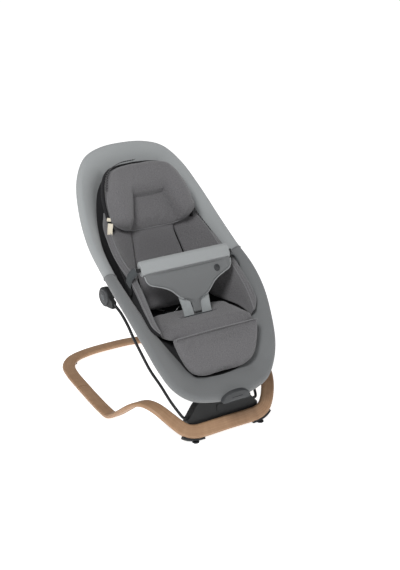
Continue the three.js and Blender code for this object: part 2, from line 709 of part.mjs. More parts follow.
function legPad() {
  const down = new THREE.Vector3(0, LEG.low[0] - LEG.top[0], LEG.low[1] - LEG.top[1]).normalize();
  const out = new THREE.Vector3(0, down.z, -down.y);
  return mappedBox(8, 6, 1, (a, b, c) => {
    const u = 2 * a - 1;
    const t = 1 - b;
    const half = t < 0.45 ? 124 : mix(124, 72, ((t - 0.45) / 0.55) ** 2);
    const sag = 8 * Math.sin(Math.PI * t);
    const rise = t > 0.5 ? 10 * u * u * (t - 0.5) * 2 : 0;
    const z = mix(LEG.top[1], LEG.low[1], t) + rise;
    const point = new THREE.Vector3(u * half, mix(LEG.top[0], LEG.low[0], t), z);
    return point.addScaledVector(out, sag * c * (1 - u * u) - (1 - c) * LEG.thickness);
  });
}

add('leg_pad', legPad(), 'inlay');

const PILLOW = { from: 0.64, to: 1, half: 122, thick: 27, pocket: 9, edge: 13 };

// The pillow lies on the back pad. A flat pocket in its lower middle leaves a roll round the head.
function headPillow() {
  return mappedBox(10, 8, 1, (a, b, c) => {
    const u = 2 * a - 1;
    const { point, out } = backFace(mix(PILLOW.from, PILLOW.to, b));
    const half = mix(94, PILLOW.half, Math.min(1, b / 0.25)) - (b > 0.7 ? (b - 0.7) * 110 : 0);
    const inPocket = Math.abs(u) < 0.5 && b < 0.6;
    const roll = inPocket ? PILLOW.pocket : PILLOW.thick;
    const rim = Math.abs(u) > 0.95 || b > 0.95 || b < 0.05;
    const height = 4 + (rim ? Math.min(PILLOW.edge, roll) : roll) * c;
    const hollow = (u * 1.1) ** 2 * 14;
    return point.clone().addScaledVector(out, hollow + height).setX(u * half);
  });
}

add('head_pillow', headPillow(), 'inlay');

// ---------------------------------------------------------------- harness

const harness = leaningGroup(CROTCH.y, CROTCH.z, CROTCH.lean);

const padOutline = [
  [12, 2], [12, 30], [45, 48], [62, 66], [96, 84], [120, 93], [129, 104], [T_BAR.half - 4, T_BAR.low - GAP],
];

function harnessPad() {
  const left = padOutline.slice().reverse().map(([x, y]) => [-x, y]);
  return extrude(polygon([...padOutline, ...left]), 8);
}

add('harness_pad', harnessPad(), 'harness', harness);

function harnessRoll() {
  const { half, low, high, thickness } = T_BAR;
  const section = roundedRect(high - low, thickness, thickness / 2 - 1);
  return extrudeX(section, -half, half, 3).translate(0, (low + high) / 2, -5);
}

add('harness_roll', harnessRoll(), 'lightFabric', harness);
addPair('crotch_strap', block(12.5, 41, 2, 46, -3.4, -GAP), 'lightFabric', harness);
add('harness_button', disc(9, 78, 100, 8 + GAP, 11), 'button', harness);

// A tongue on each end of the bar, and the open clip that it presses into on the side strap.
const CLIP = { y: 136, z: -5, half: 5, depth: 12 };
const tongueEnd = T_BAR.half + 9;
const tongue = block(
  T_BAR.half + GAP, tongueEnd, CLIP.y - CLIP.half, CLIP.y + CLIP.half, CLIP.z - 4, CLIP.z + 4,
);
addPair('harness_hook', tongue, 'plastic', harness);

// Seat-side pieces drawn in the harness's own axes at rest, where they meet it.
const clipGroup = leaningGroup(CROTCH.y, CROTCH.z, CROTCH.lean);

function strapClip() {
  const { y, z, half, depth } = CLIP;
  const outer = block(T_BAR.half + 1, T_BAR.half + 11.5, y - half - 4, y + half + 4, z - 9, z + 6);
  const mouth = block(T_BAR.half - 5, tongueEnd + GAP, y - half - 1, y + half + 1, z - 5, z + depth);
  return cut(outer, mouth);
}

addPair('strap_clip', strapClip(), 'plastic', clipGroup);

// The side strap runs from the sling's lip, over the wing's edge, to the clip.
function sideStrap() {
  const width = 30;
  const run = [[145.5, 394], [157, 397], [168, 392], [173, 380], [174, 366]];
  const outer = run.map(([x, z]) => [x, z]);
  const inner = run.slice().reverse().map(([x, z]) => [x - (x > 165 ? 2.2 : 0), z - 2.2]);
  const band = extrude(polygon([...outer, ...inner]), width);
  return band.rotateX(Math.PI / 2).translate(0, -90, 0);
}

addPair('side_strap', sideStrap(), 'webbing');

// Plate under the seat pad with the strap's tail, which comes up through the slot.
function crotchAnchor() {
  const plate = block(-50, 50, CROTCH.y - 12, CROTCH.y + 12, 233.2, 235.6);
  const tail = block(-41, 41, CROTCH.y - 2, CROTCH.y + 1, 234, CROTCH.z - 2.5);
  return join(plate, tail);
}

add('crotch_anchor', crotchAnchor(), 'webbing');

// ---------------------------------------------------------------- cap on the rim's foot end

function frontBadge() {
  const arch = new THREE.Shape();
  arch.moveTo(-40, 0);
  arch.lineTo(40, 0);
  arch.quadraticCurveTo(48, 6, 43, 14);
  arch.bezierCurveTo(34, 28, 20, 33, 0, 33);
  arch.bezierCurveTo(-20, 33, -34, 28, -43, 14);
  arch.quadraticCurveTo(-48, 6, -40, 0);
  const cap = extrude(arch, 20, 5).translate(0, 0, -16);
  cap.rotateX(radians(97)).translate(0, -346, 102);
  const rimSpace = sweep(round(SLEEVE.outer + GAP, 14), rimFrames(-1.4, 1.4), 12);
  return cut(cap, rimSpace);
}

add('front_badge', frontBadge(), 'plastic');

export default bouncer;
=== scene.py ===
"""Looks of the bouncer seat: fabric shell, padded inlay, harness, wire arms, housing and wood-look base."""

import json
import math

import bmesh
import bpy
import numpy as np
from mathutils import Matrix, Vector


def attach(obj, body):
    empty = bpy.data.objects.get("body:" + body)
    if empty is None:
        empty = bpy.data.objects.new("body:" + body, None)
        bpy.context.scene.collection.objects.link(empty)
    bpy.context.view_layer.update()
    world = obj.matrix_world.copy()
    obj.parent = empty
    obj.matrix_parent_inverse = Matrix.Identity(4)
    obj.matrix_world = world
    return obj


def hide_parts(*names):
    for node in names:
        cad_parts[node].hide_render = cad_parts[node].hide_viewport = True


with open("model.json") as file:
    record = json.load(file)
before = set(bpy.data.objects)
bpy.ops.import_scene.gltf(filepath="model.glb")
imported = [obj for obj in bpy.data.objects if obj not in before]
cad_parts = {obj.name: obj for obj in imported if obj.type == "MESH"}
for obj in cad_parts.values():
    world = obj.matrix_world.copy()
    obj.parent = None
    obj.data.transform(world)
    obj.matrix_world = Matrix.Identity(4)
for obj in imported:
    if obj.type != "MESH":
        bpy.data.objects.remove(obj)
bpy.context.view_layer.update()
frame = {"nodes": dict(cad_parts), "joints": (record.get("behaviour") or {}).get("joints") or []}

# ---------------- driving dimensions, in millimetres

HUB = {"y": -69.0, "z": 334.5, "button": 21.9, "low": 209.0, "face": 216.5}
CROTCH = {"y": -176.0, "z": 281.0, "lean": 65.0}
ROLL = {"up": 138, "out": -5, "half": 133}
CAP = {"y": -346.0, "z": 102.0, "lean": 97.0}
HOUSING_BACK = {"y": -291.0, "z": 35.0, "lean": 80.0}
BAND = {"width": 36.0, "thickness": 12.0}
BAR = {"y": -306.0, "z": 24.0, "slope": 56.0}
CREST = {"y": -218.0, "z": 89.0}
FLOOR_RAIL = {"y": -80.0, "z": 14.0}
TUBE_JOINT = 7.82                       # place along the base plan where the two tubes meet
TUBE_GAP = 0.006
SEAM = 7.78                             # place along the rim where the two slings meet
SEAM_GAP = 0.002
HEAD = 14                               # place along the rim at the middle of the head end
WRAP = 12.0
CLOTH = 2.2
WIRE_RADIUS = 3.75
STRAP_Y = -107.0                        # the side straps cross the wings here
SIDES = ((1, "left"), (-1, "right"))

# Rows of the shell's profile: round the tube, over the lip, and down the wall to the spine.
RING_ROWS, LIP_ROWS, WALL_ROWS = 26, 8, 28

hinge_y = next(j["pos_m"][1] for j in frame["joints"] if j["name"] == "recline_hinge")
MIDDLE_Y = hinge_y * 1000 - HUB["y"]

BASE_PLAN = [
    [0, -306, 0], [90, -306, 0], [124, -298, 0], [153, -272, 0], [180, -224, 0], [203, -160, 0],
    [215, -100, 0], [213, -50, 0], [190, 120, 0], [179, 185, 0], [163, 237, 0], [128, 276, 0],
    [75, 294, 0], [0, 299, 0],
]
RIM_HALF = [
    [0, -328, 112], [65, -323, 117], [111, -310, 128], [143, -290, 154], [165, -266, 195],
    [182, -223, 254], [193, -177, 305], [198, -122, 348], [196, -50, 391], [192, 24, 443],
    [176, 96, 514], [150, 148, 576], [113, 178, 616], [65, 191, 631], [0, 195, 635],
]
WIRE_HALF = [
    [60, -279, 54], [100, -279, 54], [111, -276, 55], [118, -262, 67], [127, -238, 91],
    [138.5, -211.5, 126], [153.5, -188.5, 162], [169.5, -169, 210], [180.5, -153.5, 246.5],
    [189, -140.5, 279], [198, -122.5, 308], [205.5, -109, 323.5], [206.5, -98, 328.5],
]

# Shell tables: place along the rim, then the value. The spine is the shell's lowest line (y, z).
LIP_WIDTH = [[0, 55], [1.5, 57], [3, 62], [4, 60], [5, 46], [6, 35], [7, 28], [7.8, 25],
             [8.6, 29], [9.4, 38], [10, 45], [11, 53], [12, 59], [14, 62]]
LIP_SLOPE = [[0, 4], [2, 8], [4.5, 14], [7, 15], [10, 14], [12, 6], [14, 0]]
LIP_BEND = [[0, 0.06], [4, 0.1], [5.5, 0.28], [7, 0.33], [14, 0.33]]
WALL_REACH = [[0, 0.9], [9, 0.92], [11, 0.8], [12.5, 0.5], [14, 0.45]]
SPINE = [
    [0, -268, 150], [1.3, -266, 154], [2.6, -262, 160], [3.3, -252, 178], [4.0, -241, 200],
    [4.7, -225, 222], [5.3, -205, 230], [6.1, -172, 231], [6.8, -124, 224], [7.5, -78, 227],
    [8.2, -28, 270], [8.9, 14, 328], [9.6, 50, 390], [10.3, 84, 454], [11.1, 112, 515],
    [11.8, 128, 550], [12.6, 136, 570], [14, 138, 576],
]

# Lines in the middle plane (y, z) that the pads lie on, from their low end to their high end.
BACK_LINE = [[-80, 272], [-38, 319], [5, 376], [36, 439], [73, 505], [110, 570], [141, 624]]
SEAT_LINE = [[-248, 256], [-232, 254], [-200, 250], [-150, 248], [-98, 248]]
LEG_LINE = [[-292, 160], [-284, 184], [-269, 220], [-252, 262]]

# The side wing's raised edge and the seam that it rises from, from the head end to the knee.
WING_EDGE = [
    [118, 66, 505], [128, 52, 482], [137, 9, 449], [142, -22, 428], [143, -55, 406],
    [142, -102, 381], [143, -135, 357], [146, -179, 318], [145, -203, 291], [142, -222, 272],
]
WING_FOOT = [
    [58, 62, 480], [64, 44, 452], [70, 22, 412], [76, 2, 376], [88, -28, 335],
    [106, -70, 278], [124, -110, 269], [134, -160, 268], [135, -198, 264], [134, -216, 256],
]


# ---------------- numbers and curves

def metres(points):
    """Points of the drawing, in millimetres, in the row frame in metres."""
    return (np.asarray(points, float) + [0, MIDDLE_Y, 0]) / 1000


def unit(vectors):
    return vectors / np.maximum(np.linalg.norm(vectors, axis=-1, keepdims=True), 1e-12)


def smooth(x):
    x = np.clip(x, 0, 1)
    return x * x * (3 - 2 * x)


def dome(distance, radius):
    """Quarter-round rise from 0 at an edge to 1 at a distance of radius."""
    t = np.clip(distance / radius, 0, 1)
    return np.sqrt(np.maximum(1 - (1 - t) ** 2, 0))


def distances(points):
    """Length run along a line of points."""
    return np.concatenate([[0], np.cumsum(np.linalg.norm(np.diff(points, axis=0), axis=1))])


def hermite(a, b, slope_a, slope_b, t):
    """Cubic between two values with a slope at each."""
    t2, t3 = t * t, t * t * t
    start = (2 * t3 - 3 * t2 + 1) * a + (t3 - 2 * t2 + t) * slope_a
    return start + (3 * t2 - 2 * t3) * b + (t3 - t2) * slope_b


def look_up(table, at):
    """Smooth values of a table whose first column is the place and whose others are values."""
    rows = np.array(table, float)
    x, y = rows[:, 0], rows[:, 1:]
    slope = np.gradient(y, x, axis=0)
    at = np.asarray(at, float)
    i = np.clip(np.searchsorted(x, at, side="right") - 1, 0, len(x) - 2)
    width = (x[i + 1] - x[i])[:, None]
    t = (at[:, None] - x[i][:, None]) / width
    return hermite(y[i], y[i + 1], slope[i] * width, slope[i + 1] * width, t)


class Curve:
    """Centripetal curve through points, closed or open. A place on it is a point number."""

    def __init__(self, points, closed=False):
        p = np.array(points, float)
        self.count = len(p)
        self.closed = closed
        if closed:
            self.p = np.concatenate([p[-1:], p, p[:2]])
        else:
            self.p = np.concatenate([2 * p[:1] - p[1:2], p, 2 * p[-1:] - p[-2:-1]])

    def at(self, place):
        place = np.asarray(place, float)
        if self.closed:
            place = place % self.count
        last = self.count - 1 if self.closed else self.count - 2
        i = np.clip(np.floor(place).astype(int), 0, last)
        near = [self.p[i + k] for k in range(4)]
        d0, d1, d2 = (np.sqrt(np.linalg.norm(b - a, axis=-1, keepdims=True)) for a, b in zip(near, near[1:]))
        p0, p1, p2, p3 = near
        start = ((p1 - p0) / d0 - (p2 - p0) / (d0 + d1) + (p2 - p1) / d1) * d1
        end = ((p2 - p1) / d1 - (p3 - p1) / (d1 + d2) + (p3 - p2) / d2) * d1
        return hermite(p1, p2, start, end, (place - i)[..., None])

    def even(self, start, end, count):
        """Points evenly apart between two places."""
        place = np.linspace(start, end, 12 * count)
        run = distances(self.at(place))
        return self.at(np.interp(np.linspace(0, run[-1], count), run, place))


def closed_curve(half):
    other = [[-p[0], *p[1:]] for p in half[-2:0:-1]]
    return Curve(half + other, closed=True)


def line_through(points, count):
    curve = Curve(points)
    return curve.even(0, curve.count - 1, count)


def frames(curve, place, facing):
    """Origins, across and normal directions along a curve, with the normal close to a facing."""
    step = 0.002
    tangent = unit(curve.at(place + step) - curve.at(place - step))
    normal = unit(facing - (tangent @ facing)[:, None] * tangent)
    return curve.at(place), np.cross(normal, tangent), normal


# ---------------- patches: points, faces and UVs

def grid_patch(points, around=False, closed=False, ends=False):
    """Quads over rows and columns of points. UVs are lengths in metres."""
    rows, cols = points.shape[:2]
    whole = np.concatenate([points, points[:, :1]], 1) if around else points
    whole = np.concatenate([whole, whole[:1]], 0) if closed else whole
    step_u = np.linalg.norm(np.diff(whole, axis=0), axis=-1).mean(1)
    step_v = np.linalg.norm(np.diff(whole, axis=1), axis=-1).mean(0)
    u = np.concatenate([[0], np.cumsum(step_u)]) / 1000
    v = np.concatenate([[0], np.cumsum(step_v)]) / 1000
    i, j = (g.ravel() for g in np.meshgrid(range(len(u) - 1), range(len(v) - 1), indexing="ij"))
    i2, j2 = (i + 1) % rows, (j + 1) % cols
    faces = np.stack([i * cols + j, i2 * cols + j, i2 * cols + j2, i * cols + j2], 1).tolist()
    uvs = np.stack([u[i], v[j], u[i + 1], v[j], u[i + 1], v[j + 1], u[i], v[j + 1]], 1).reshape(-1, 2)
    if ends:
        faces += [list(range(cols))[::-1], list(range((rows - 1) * cols, rows * cols))]
        uvs = np.concatenate([uvs, np.zeros((2 * cols, 2))])
    return points.reshape(-1, 3), faces, uvs


def solid_patch(rows):
    """A closed solid from rows of points that run round it."""
    return grid_patch(np.array(rows), around=True, ends=True)


def sweep_patch(section, place, across, normal, closed=False):
    section = np.asarray(section, float)
    points = place[:, None] + section[None, :, :1] * across[:, None] + section[None, :, 1:] * normal[:, None]
    return grid_patch(points, around=True, closed=closed, ends=not closed)


def ring_points(radius, sides):
    angle = 2 * np.pi * np.arange(sides) / sides
    return np.stack([radius * np.cos(angle), radius * np.sin(angle)], 1)


def cord_patch(points, radius, sides=8, closed=False):
    """A round cord along a line of points."""
    points = np.asarray(points, float)
    if closed:
        tangent = unit(np.roll(points, -1, 0) - np.roll(points, 1, 0))
    else:
        tangent = unit(np.gradient(points, axis=0))
    side = np.cross(tangent[0], [0.31, 0.52, 0.79])
    normals = []
    for t in tangent:
        side = unit(side - np.dot(side, t) * t)
        normals.append(side)
    normal = np.array(normals)
    return sweep_patch(ring_points(radius, sides), points, np.cross(normal, tangent), normal, closed)


def both_sides(line, radius, sides=8):
    """A cord along a line, and its mirror image."""
    return [cord_patch(line * [side, 1, 1], radius, sides) for side in (1, -1)]


def lathe_patch(profile, side, sides):
    """A turned piece about the hub's axis. The profile is radius and distance out along X."""
    angle = 2 * np.pi * np.arange(sides) / sides
    rows = []
    for radius, x in profile:
        y = HUB["y"] + radius * np.cos(angle)
        z = HUB["z"] + radius * np.sin(angle)
        rows.append(np.stack([np.full(sides, side * x), y, z], 1))
    return solid_patch(rows)


def pad_patch(base, out, height, depth):
    """A closed pad over a grid. Its front stands height above the base and its back depth below."""
    rows, cols = base.shape[:2]
    front = base + out * height[..., None]
    back = base - out * depth[..., None]
    top = np.arange(rows * cols).reshape(rows, cols)
    low = top.copy()
    low[1:-1, 1:-1] = rows * cols + np.arange((rows - 2) * (cols - 2)).reshape(rows - 2, cols - 2)
    points = np.concatenate([front.reshape(-1, 3), back[1:-1, 1:-1].reshape(-1, 3)])
    quads, uvs = grid_patch(front)[1:]
    quads = np.array(quads)
    faces = quads.tolist() + low.ravel()[quads][:, ::-1].tolist()
    turned = uvs.reshape(-1, 4, 2)[:, ::-1].reshape(-1, 2)
    rim = np.ones((rows, cols), bool)
    rim[1:-1, 1:-1] = False
    pins = top[rim].tolist() + list(range(rows * cols, len(points)))
    return (points, faces, np.concatenate([uvs, turned])), pins


# ---------------- pads over an outline

def outline_grid(half, low_corner, high_corner, rows, cols):
    """A grid inside a symmetric outline, and how far each of its points is from the outline."""
    n = len(half) - 1
    full = closed_curve(half)
    low = full.even(-low_corner, low_corner, cols)
    right = full.even(low_corner, high_corner, rows)
    top = full.even(2 * n - high_corner, high_corner, cols)
    left = right * [-1, 1]
    u = np.linspace(0, 1, cols)[None, :, None]
    v = np.linspace(0, 1, rows)[:, None, None]
    grid = (1 - v) * low[None] + v * top[None] + (1 - u) * left[:, None] + u * right[:, None]
    grid -= (1 - u) * (1 - v) * low[0] + u * (1 - v) * low[-1] + (1 - u) * v * top[0] + u * v * top[-1]
    border = full.at(np.linspace(0, 2 * n, 301))
    a, b = border[:-1], border[1:]
    flat = grid.reshape(-1, 1, 2)
    run = b - a
    t = np.clip(((flat - a) * run).sum(-1) / np.maximum((run * run).sum(-1), 1e-9), 0, 1)
    near = np.linalg.norm(flat - a - t[..., None] * run, axis=-1).min(1).reshape(rows, cols)
    near[[0, -1]] = 0
    near[:, [0, -1]] = 0
    return grid, near, border


def surface(line, hollow, offset):
    """A surface that runs along a line in the middle plane and bends forward towards its sides."""
    dense = line_through(line, 200)
    run = distances(dense)
    way = unit(np.gradient(dense, axis=0))

    def place(grid):
        x, t = grid[..., 0], grid[..., 1]
        y, z = np.interp(t, run, dense[:, 0]), np.interp(t, run, dense[:, 1])
        dy, dz = np.interp(t, run, way[:, 0]), np.interp(t, run, way[:, 1])
        lift = offset + hollow * (x / 100) ** 2
        base = np.stack([x, y - dz * lift, z + dy * lift], -1)
        out = np.stack([-2 * hollow * x / 10000, -dz, dy], -1)
        return base, unit(out)

    return place, run, dense


def by_height(half, run, dense):
    """Turns an outline of half width and height z into half width and length along the line."""
    return [[x, float(np.interp(z, dense[:, 1], run))] for x, z in half]


# ---------------- objects

def make(name, patches, material, body, stands_for=(), weld=0.0, sharp=None, marks=None):
    """An object from patches, riding on a body. marks are the material numbers of its faces."""
    verts, faces, uvs, offset = [], [], [], 0
    for points, quads, uv in patches:
        verts.append(points)
        faces += [[k + offset for k in quad] for quad in quads]
        uvs.append(uv)
        offset += len(points)
    mesh = bpy.data.meshes.new(name)
    mesh.from_pydata(metres(np.concatenate(verts)).tolist(), [], faces)
    if marks is not None:
        mesh.polygons.foreach_set("material_index", marks)
    layer = mesh.uv_layers.new(name="UVMap")
    layer.data.foreach_set("uv", np.concatenate(uvs).astype(np.float32).ravel())
    work = bmesh.new()
    work.from_mesh(mesh)
    if weld > 0:
        bmesh.ops.remove_doubles(work, verts=work.verts, dist=weld)
    bmesh.ops.recalc_face_normals(work, faces=work.faces)
    work.to_mesh(mesh)
    work.free()
    mesh.polygons.foreach_set("use_smooth", [True] * len(mesh.polygons))
    if sharp:
        mesh.set_sharp_from_angle(angle=math.radians(sharp))
    mesh.materials.append(material)
    obj = bpy.data.objects.new(name, mesh)
    bpy.context.collection.objects.link(obj)
    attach(obj, body)
    if stands_for:
        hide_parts(*stands_for)
    return obj


def dress(names, material, width):
    """Gives CAD nodes a finish, rounded edges and smooth shading."""
    for name in names:
        obj = frame["nodes"][name]
        obj.data.materials.clear()
        obj.data.materials.append(material)
        obj.data.polygons.foreach_set("use_smooth", [True] * len(obj.data.polygons))
        edge = obj.modifiers.new("Edges", "BEVEL")
        edge.width = width / 1000
        edge.segments = 3
        edge.limit_method = "ANGLE"
        edge.angle_limit = math.radians(35)
        edge.harden_normals = True


def pair(name):
    return [f"{name}_left", f"{name}_right"]


CLOTH_STEPS = 20
CLOTH_GROWTH = 0.02


def cloth_run(obj, pins, pressure):
    """Where a pad's points lie after a short cloth run with some of them held."""
    held = obj.vertex_groups.new(name="held")
    held.add(pins, 1.0, "REPLACE")
    cloth = obj.modifiers.new("Cloth", "CLOTH")
    settings = cloth.settings
    settings.quality = 5
    settings.mass = 0.2
    settings.use_pressure = True
    settings.uniform_pressure_force = pressure
    settings.vertex_group_mass = "held"
    settings.effector_weights.gravity = 0
    settings.tension_stiffness = 12
    settings.compression_stiffness = 12
    settings.bending_stiffness = 0.4
    settings.shrink_min = -CLOTH_GROWTH
    cloth.collision_settings.use_collision = False
    cloth.point_cache.frame_start = 1
    cloth.point_cache.frame_end = CLOTH_STEPS
    for step in range(1, CLOTH_STEPS + 1):
        bpy.context.scene.frame_set(step)
    depsgraph = bpy.context.evaluated_depsgraph_get()
    moved = points_of(obj.evaluated_get(depsgraph).data)
    obj.modifiers.remove(cloth)
    obj.vertex_groups.remove(held)
    bpy.context.scene.frame_set(1)
    return moved


def points_of(mesh):
    points = np.zeros(len(mesh.vertices) * 3, np.float32)
    mesh.vertices.foreach_get("co", points)
    return points.reshape(-1, 3)


def puff(obj, pins, pressure, cap):
    """Swells a pad, but moves no point further than cap millimetres, then applies the result."""
    moved = cloth_run(obj, pins, pressure)
    rest = points_of(obj.data)
    shift = moved - rest
    length = np.linalg.norm(shift, axis=1, keepdims=True)
    limit = cap / 1000
    shift *= np.where(length > 1e-9, limit * np.tanh(length / limit) / np.maximum(length, 1e-9), 1)
    obj.data.vertices.foreach_set("co", (rest + shift).astype(np.float32).ravel())
    obj.data.update()


def rounder(obj):
    more = obj.modifiers.new("Smooth", "SUBSURF")
    more.levels = 1
    more.render_levels = 1


# ---------------- materials

def srgb(red, green, blue):
    linear = [((c / 255 + 0.055) / 1.055) ** 2.4 if c > 10 else c / 3294.6 for c in (red, green, blue)]
    return (*linear, 1.0)


def shade(colour, amount):
    return (*[c * amount for c in colour[:3]], 1.0)


class Finish:
    """A material with a small node tree. Sockets take values or other nodes' outputs."""

    def __init__(self, name, roughness, metallic=0.0, **constants):
        self.material = bpy.data.materials.new(name)
        self.material.use_nodes = True
        self.tree = self.material.node_tree
        self.surface = self.tree.nodes["Principled BSDF"]
        values = {"Roughness": roughness, "Metallic": metallic, **constants}
        for socket, value in values.items():
            self.surface.inputs[socket].default_value = value

    def node(self, kind, inputs, output=0, **settings):
        node = self.tree.nodes.new("ShaderNode" + kind)
        for key, value in settings.items():
            setattr(node, key, value)
        for socket, value in inputs.items():
            self.feed(node.inputs[socket], value)
        return node.outputs[output]

    def feed(self, socket, value):
        if isinstance(value, bpy.types.NodeSocket):
            self.tree.links.new(value, socket)
        else:
            socket.default_value = value

    def where(self, kind="UV"):
        return self.node("TexCoord", {}, kind)

    def stretch(self, source, scale):
        return self.node("Mapping", {"Vector": source, "Scale": scale})

    def noise(self, source, scale, detail=3.0, rough=0.5):
        inputs = {"Vector": source, "Scale": scale, "Detail": detail, "Roughness": rough}
        return self.node("TexNoise", inputs)

    def wave(self, source, scale, direction, distortion):
        inputs = {"Vector": source, "Scale": scale, "Distortion": distortion, "Detail Scale": 2.0}
        return self.node("TexWave", inputs, 1, wave_type="BANDS", bands_direction=direction)

    def maths(self, operation, a, b):
        return self.node("Math", {0: a, 1: b}, operation=operation)

    def ramp(self, factor, stops):
        node = self.tree.nodes.new("ShaderNodeValToRGB")
        elements = node.color_ramp.elements
        while len(elements) < len(stops):
            elements.new(0.5)
        for element, (position, colour) in zip(elements, stops):
            element.position = position
            element.color = colour
        self.tree.links.new(factor, node.inputs["Fac"])
        return node.outputs["Color"]

    def colour(self, source):
        self.feed(self.surface.inputs["Base Color"], source)

    def rough(self, source, low, high):
        inputs = {"Value": source, "To Min": low, "To Max": high}
        self.feed(self.surface.inputs["Roughness"], self.node("MapRange", inputs))

    def bump(self, height, strength, distance):
        inputs = {"Height": height, "Strength": strength, "Distance": distance}
        self.feed(self.surface.inputs["Normal"], self.node("Bump", inputs))


THREAD_WAVE = 0.314                     # scale of a wave texture with a period of one metre


def fabric(name, colour, thread, mix, strength, sheen=0.25, fleck=0.0):
    """Woven cloth: crossed threads, lighter and darker yarns, flecks, and broad faint shading."""
    f = Finish(name, 0.92, **{"Sheen Weight": sheen, "Sheen Roughness": 0.6, "Specular IOR Level": 0.25})
    at = f.where()
    scale = THREAD_WAVE / (thread / 1000)
    weave = f.maths("ADD", f.wave(at, scale, "X", 0.8), f.wave(at, scale, "Y", 0.8))
    lengthwise = f.noise(f.stretch(at, (900, 260, 1)), 1.0, 4.0, 0.7)
    crosswise = f.noise(f.stretch(at, (260, 900, 1)), 1.0, 4.0, 0.7)
    yarns = f.maths("MULTIPLY", f.maths("ADD", lengthwise, crosswise), 0.5)
    broad = f.noise(at, 9.0, 2.0)
    factor = f.maths("ADD", f.maths("MULTIPLY", yarns, 0.8), f.maths("MULTIPLY", broad, 0.2))
    spread = 0.12 if fleck else 0.2
    if fleck:
        flecks = f.noise(f.stretch(at, (420, 300, 1)), 1.0, 3.0, 0.6)
        factor = f.maths("ADD", f.maths("MULTIPLY", factor, 1 - fleck), f.maths("MULTIPLY", flecks, fleck))
    stops = [(0.5 - spread, shade(colour, 1 - mix)), (0.5 + spread, shade(colour, 1 + mix))]
    f.colour(f.ramp(factor, stops))
    height = f.maths("ADD", f.maths("MULTIPLY", weave, 0.5), yarns)
    f.bump(height, strength, 0.0003)
    return f.material


def wood_film(name):
    """Wood-look film on the base tubes, with its grain along the tube."""
    f = Finish(name, 0.5, **{"Coat Weight": 0.12, "Coat Roughness": 0.35, "Specular IOR Level": 0.4})
    at = f.where()
    fine = f.noise(f.stretch(at, (9, 520, 1)), 1.0, 6.0, 0.65)
    coarse = f.noise(f.stretch(at, (3.2, 90, 1)), 1.0, 4.0, 0.6)
    across = f.noise(f.stretch(at, (70, 12, 1)), 1.0, 3.0, 0.5)
    grain = f.maths("ADD", f.maths("MULTIPLY", fine, 0.55), f.maths("MULTIPLY", coarse, 0.2))
    grain = f.maths("ADD", grain, f.maths("MULTIPLY", across, 0.25))
    stops = [(0.28, srgb(124, 92, 68)), (0.45, srgb(156, 122, 93)), (0.62, srgb(173, 140, 110)),
             (0.8, srgb(190, 158, 128))]
    f.colour(f.ramp(grain, stops))
    f.rough(fine, 0.42, 0.6)
    f.bump(fine, 0.25, 0.0002)
    return f.material


def moulded(name, colour, roughness, grain=2600.0, strength=0.25):
    """Fine-grained moulded plastic or rubber with slight wear."""
    f = Finish(name, roughness, **{"Specular IOR Level": 0.45})
    at = f.where("Object")
    spots = f.noise(at, grain, 2.0)
    broad = f.noise(at, 22.0, 4.0)
    f.colour(f.ramp(broad, [(0.3, shade(colour, 0.92)), (0.7, shade(colour, 1.1))]))
    f.rough(broad, roughness - 0.06, roughness + 0.08)
    f.bump(spots, strength, 0.0001)
    return f.material


def metal(name, colour, roughness, metallic=1.0):
    """Drawn or powder-coated metal with faint streaks."""
    f = Finish(name, roughness, metallic)
    at = f.where("Object")
    streaks = f.noise(f.stretch(at, (60, 900, 900)), 1.0, 3.0)
    f.colour(f.ramp(streaks, [(0.3, shade(colour, 0.9)), (0.7, shade(colour, 1.08))]))
    f.rough(streaks, roughness - 0.05, roughness + 0.1)
    f.bump(streaks, 0.12, 0.0001)
    return f.material


def webbing(name, colour):
    """Flat woven band with a herringbone of thick threads."""
    f = Finish(name, 0.85, **{"Sheen Weight": 0.2, "Specular IOR Level": 0.3})
    at = f.where()
    ribs = f.wave(at, THREAD_WAVE / 0.0016, "DIAGONAL", 0.3)
    rows = f.wave(at, THREAD_WAVE / 0.0024, "X", 0.2)
    height = f.maths("ADD", ribs, rows)
    dirt = f.noise(at, 40.0, 4.0)
    f.colour(f.ramp(dirt, [(0.3, shade(colour, 0.9)), (0.7, shade(colour, 1.1))]))
    f.bump(height, 0.5, 0.0004)
    return f.material


LIGHT = srgb(150, 153, 154)
DARK = srgb(110, 112, 113)
INLAY = srgb(98, 97, 99)

shell_light = fabric("shell_light", LIGHT, 0.9, 0.05, 0.3)
shell_dark = fabric("shell_dark", DARK, 0.9, 0.05, 0.3)
inlay = fabric("inlay_melange", INLAY, 1.3, 0.3, 0.6, fleck=0.55)
inlay_edge = fabric("inlay_piping", srgb(112, 112, 114), 1.0, 0.08, 0.4)
harness_cloth = fabric("harness_cloth", srgb(104, 106, 107), 0.9, 0.07, 0.35)
light_piping = fabric("light_piping", LIGHT, 0.8, 0.05, 0.3)
strap_web = webbing("strap_web", srgb(70, 74, 76))
crotch_web = webbing("crotch_web", srgb(150, 154, 155))
thread_dark = fabric("dark_thread", srgb(38, 38, 40), 0.6, 0.1, 0.4)
# painted shade: near-black cloth on the shell's wall, the wings' backs and beside the pillow, standing in
# for deep shade
painted_shade_cloth = fabric("painted_shade_fabric", srgb(34, 34, 36), 1.0, 0.08, 0.4, sheen=0.05)
label_cream = fabric("cream_label", srgb(214, 206, 188), 0.7, 0.04, 0.3)
wood = wood_film("wood_film")
charcoal = moulded("charcoal_plastic", srgb(29, 30, 31), 0.6)
button_grey = moulded("button_plastic", srgb(52, 54, 56), 0.5)
mark_grey = moulded("mark_grey", srgb(120, 124, 126), 0.5)
rubber = moulded("foot_rubber", srgb(34, 35, 37), 0.8, 1800.0, 0.4)
steel = metal("bright_steel", srgb(170, 172, 175), 0.35)
powder = metal("black_powder", srgb(30, 31, 33), 0.38, 0.3)


# ---------------- base

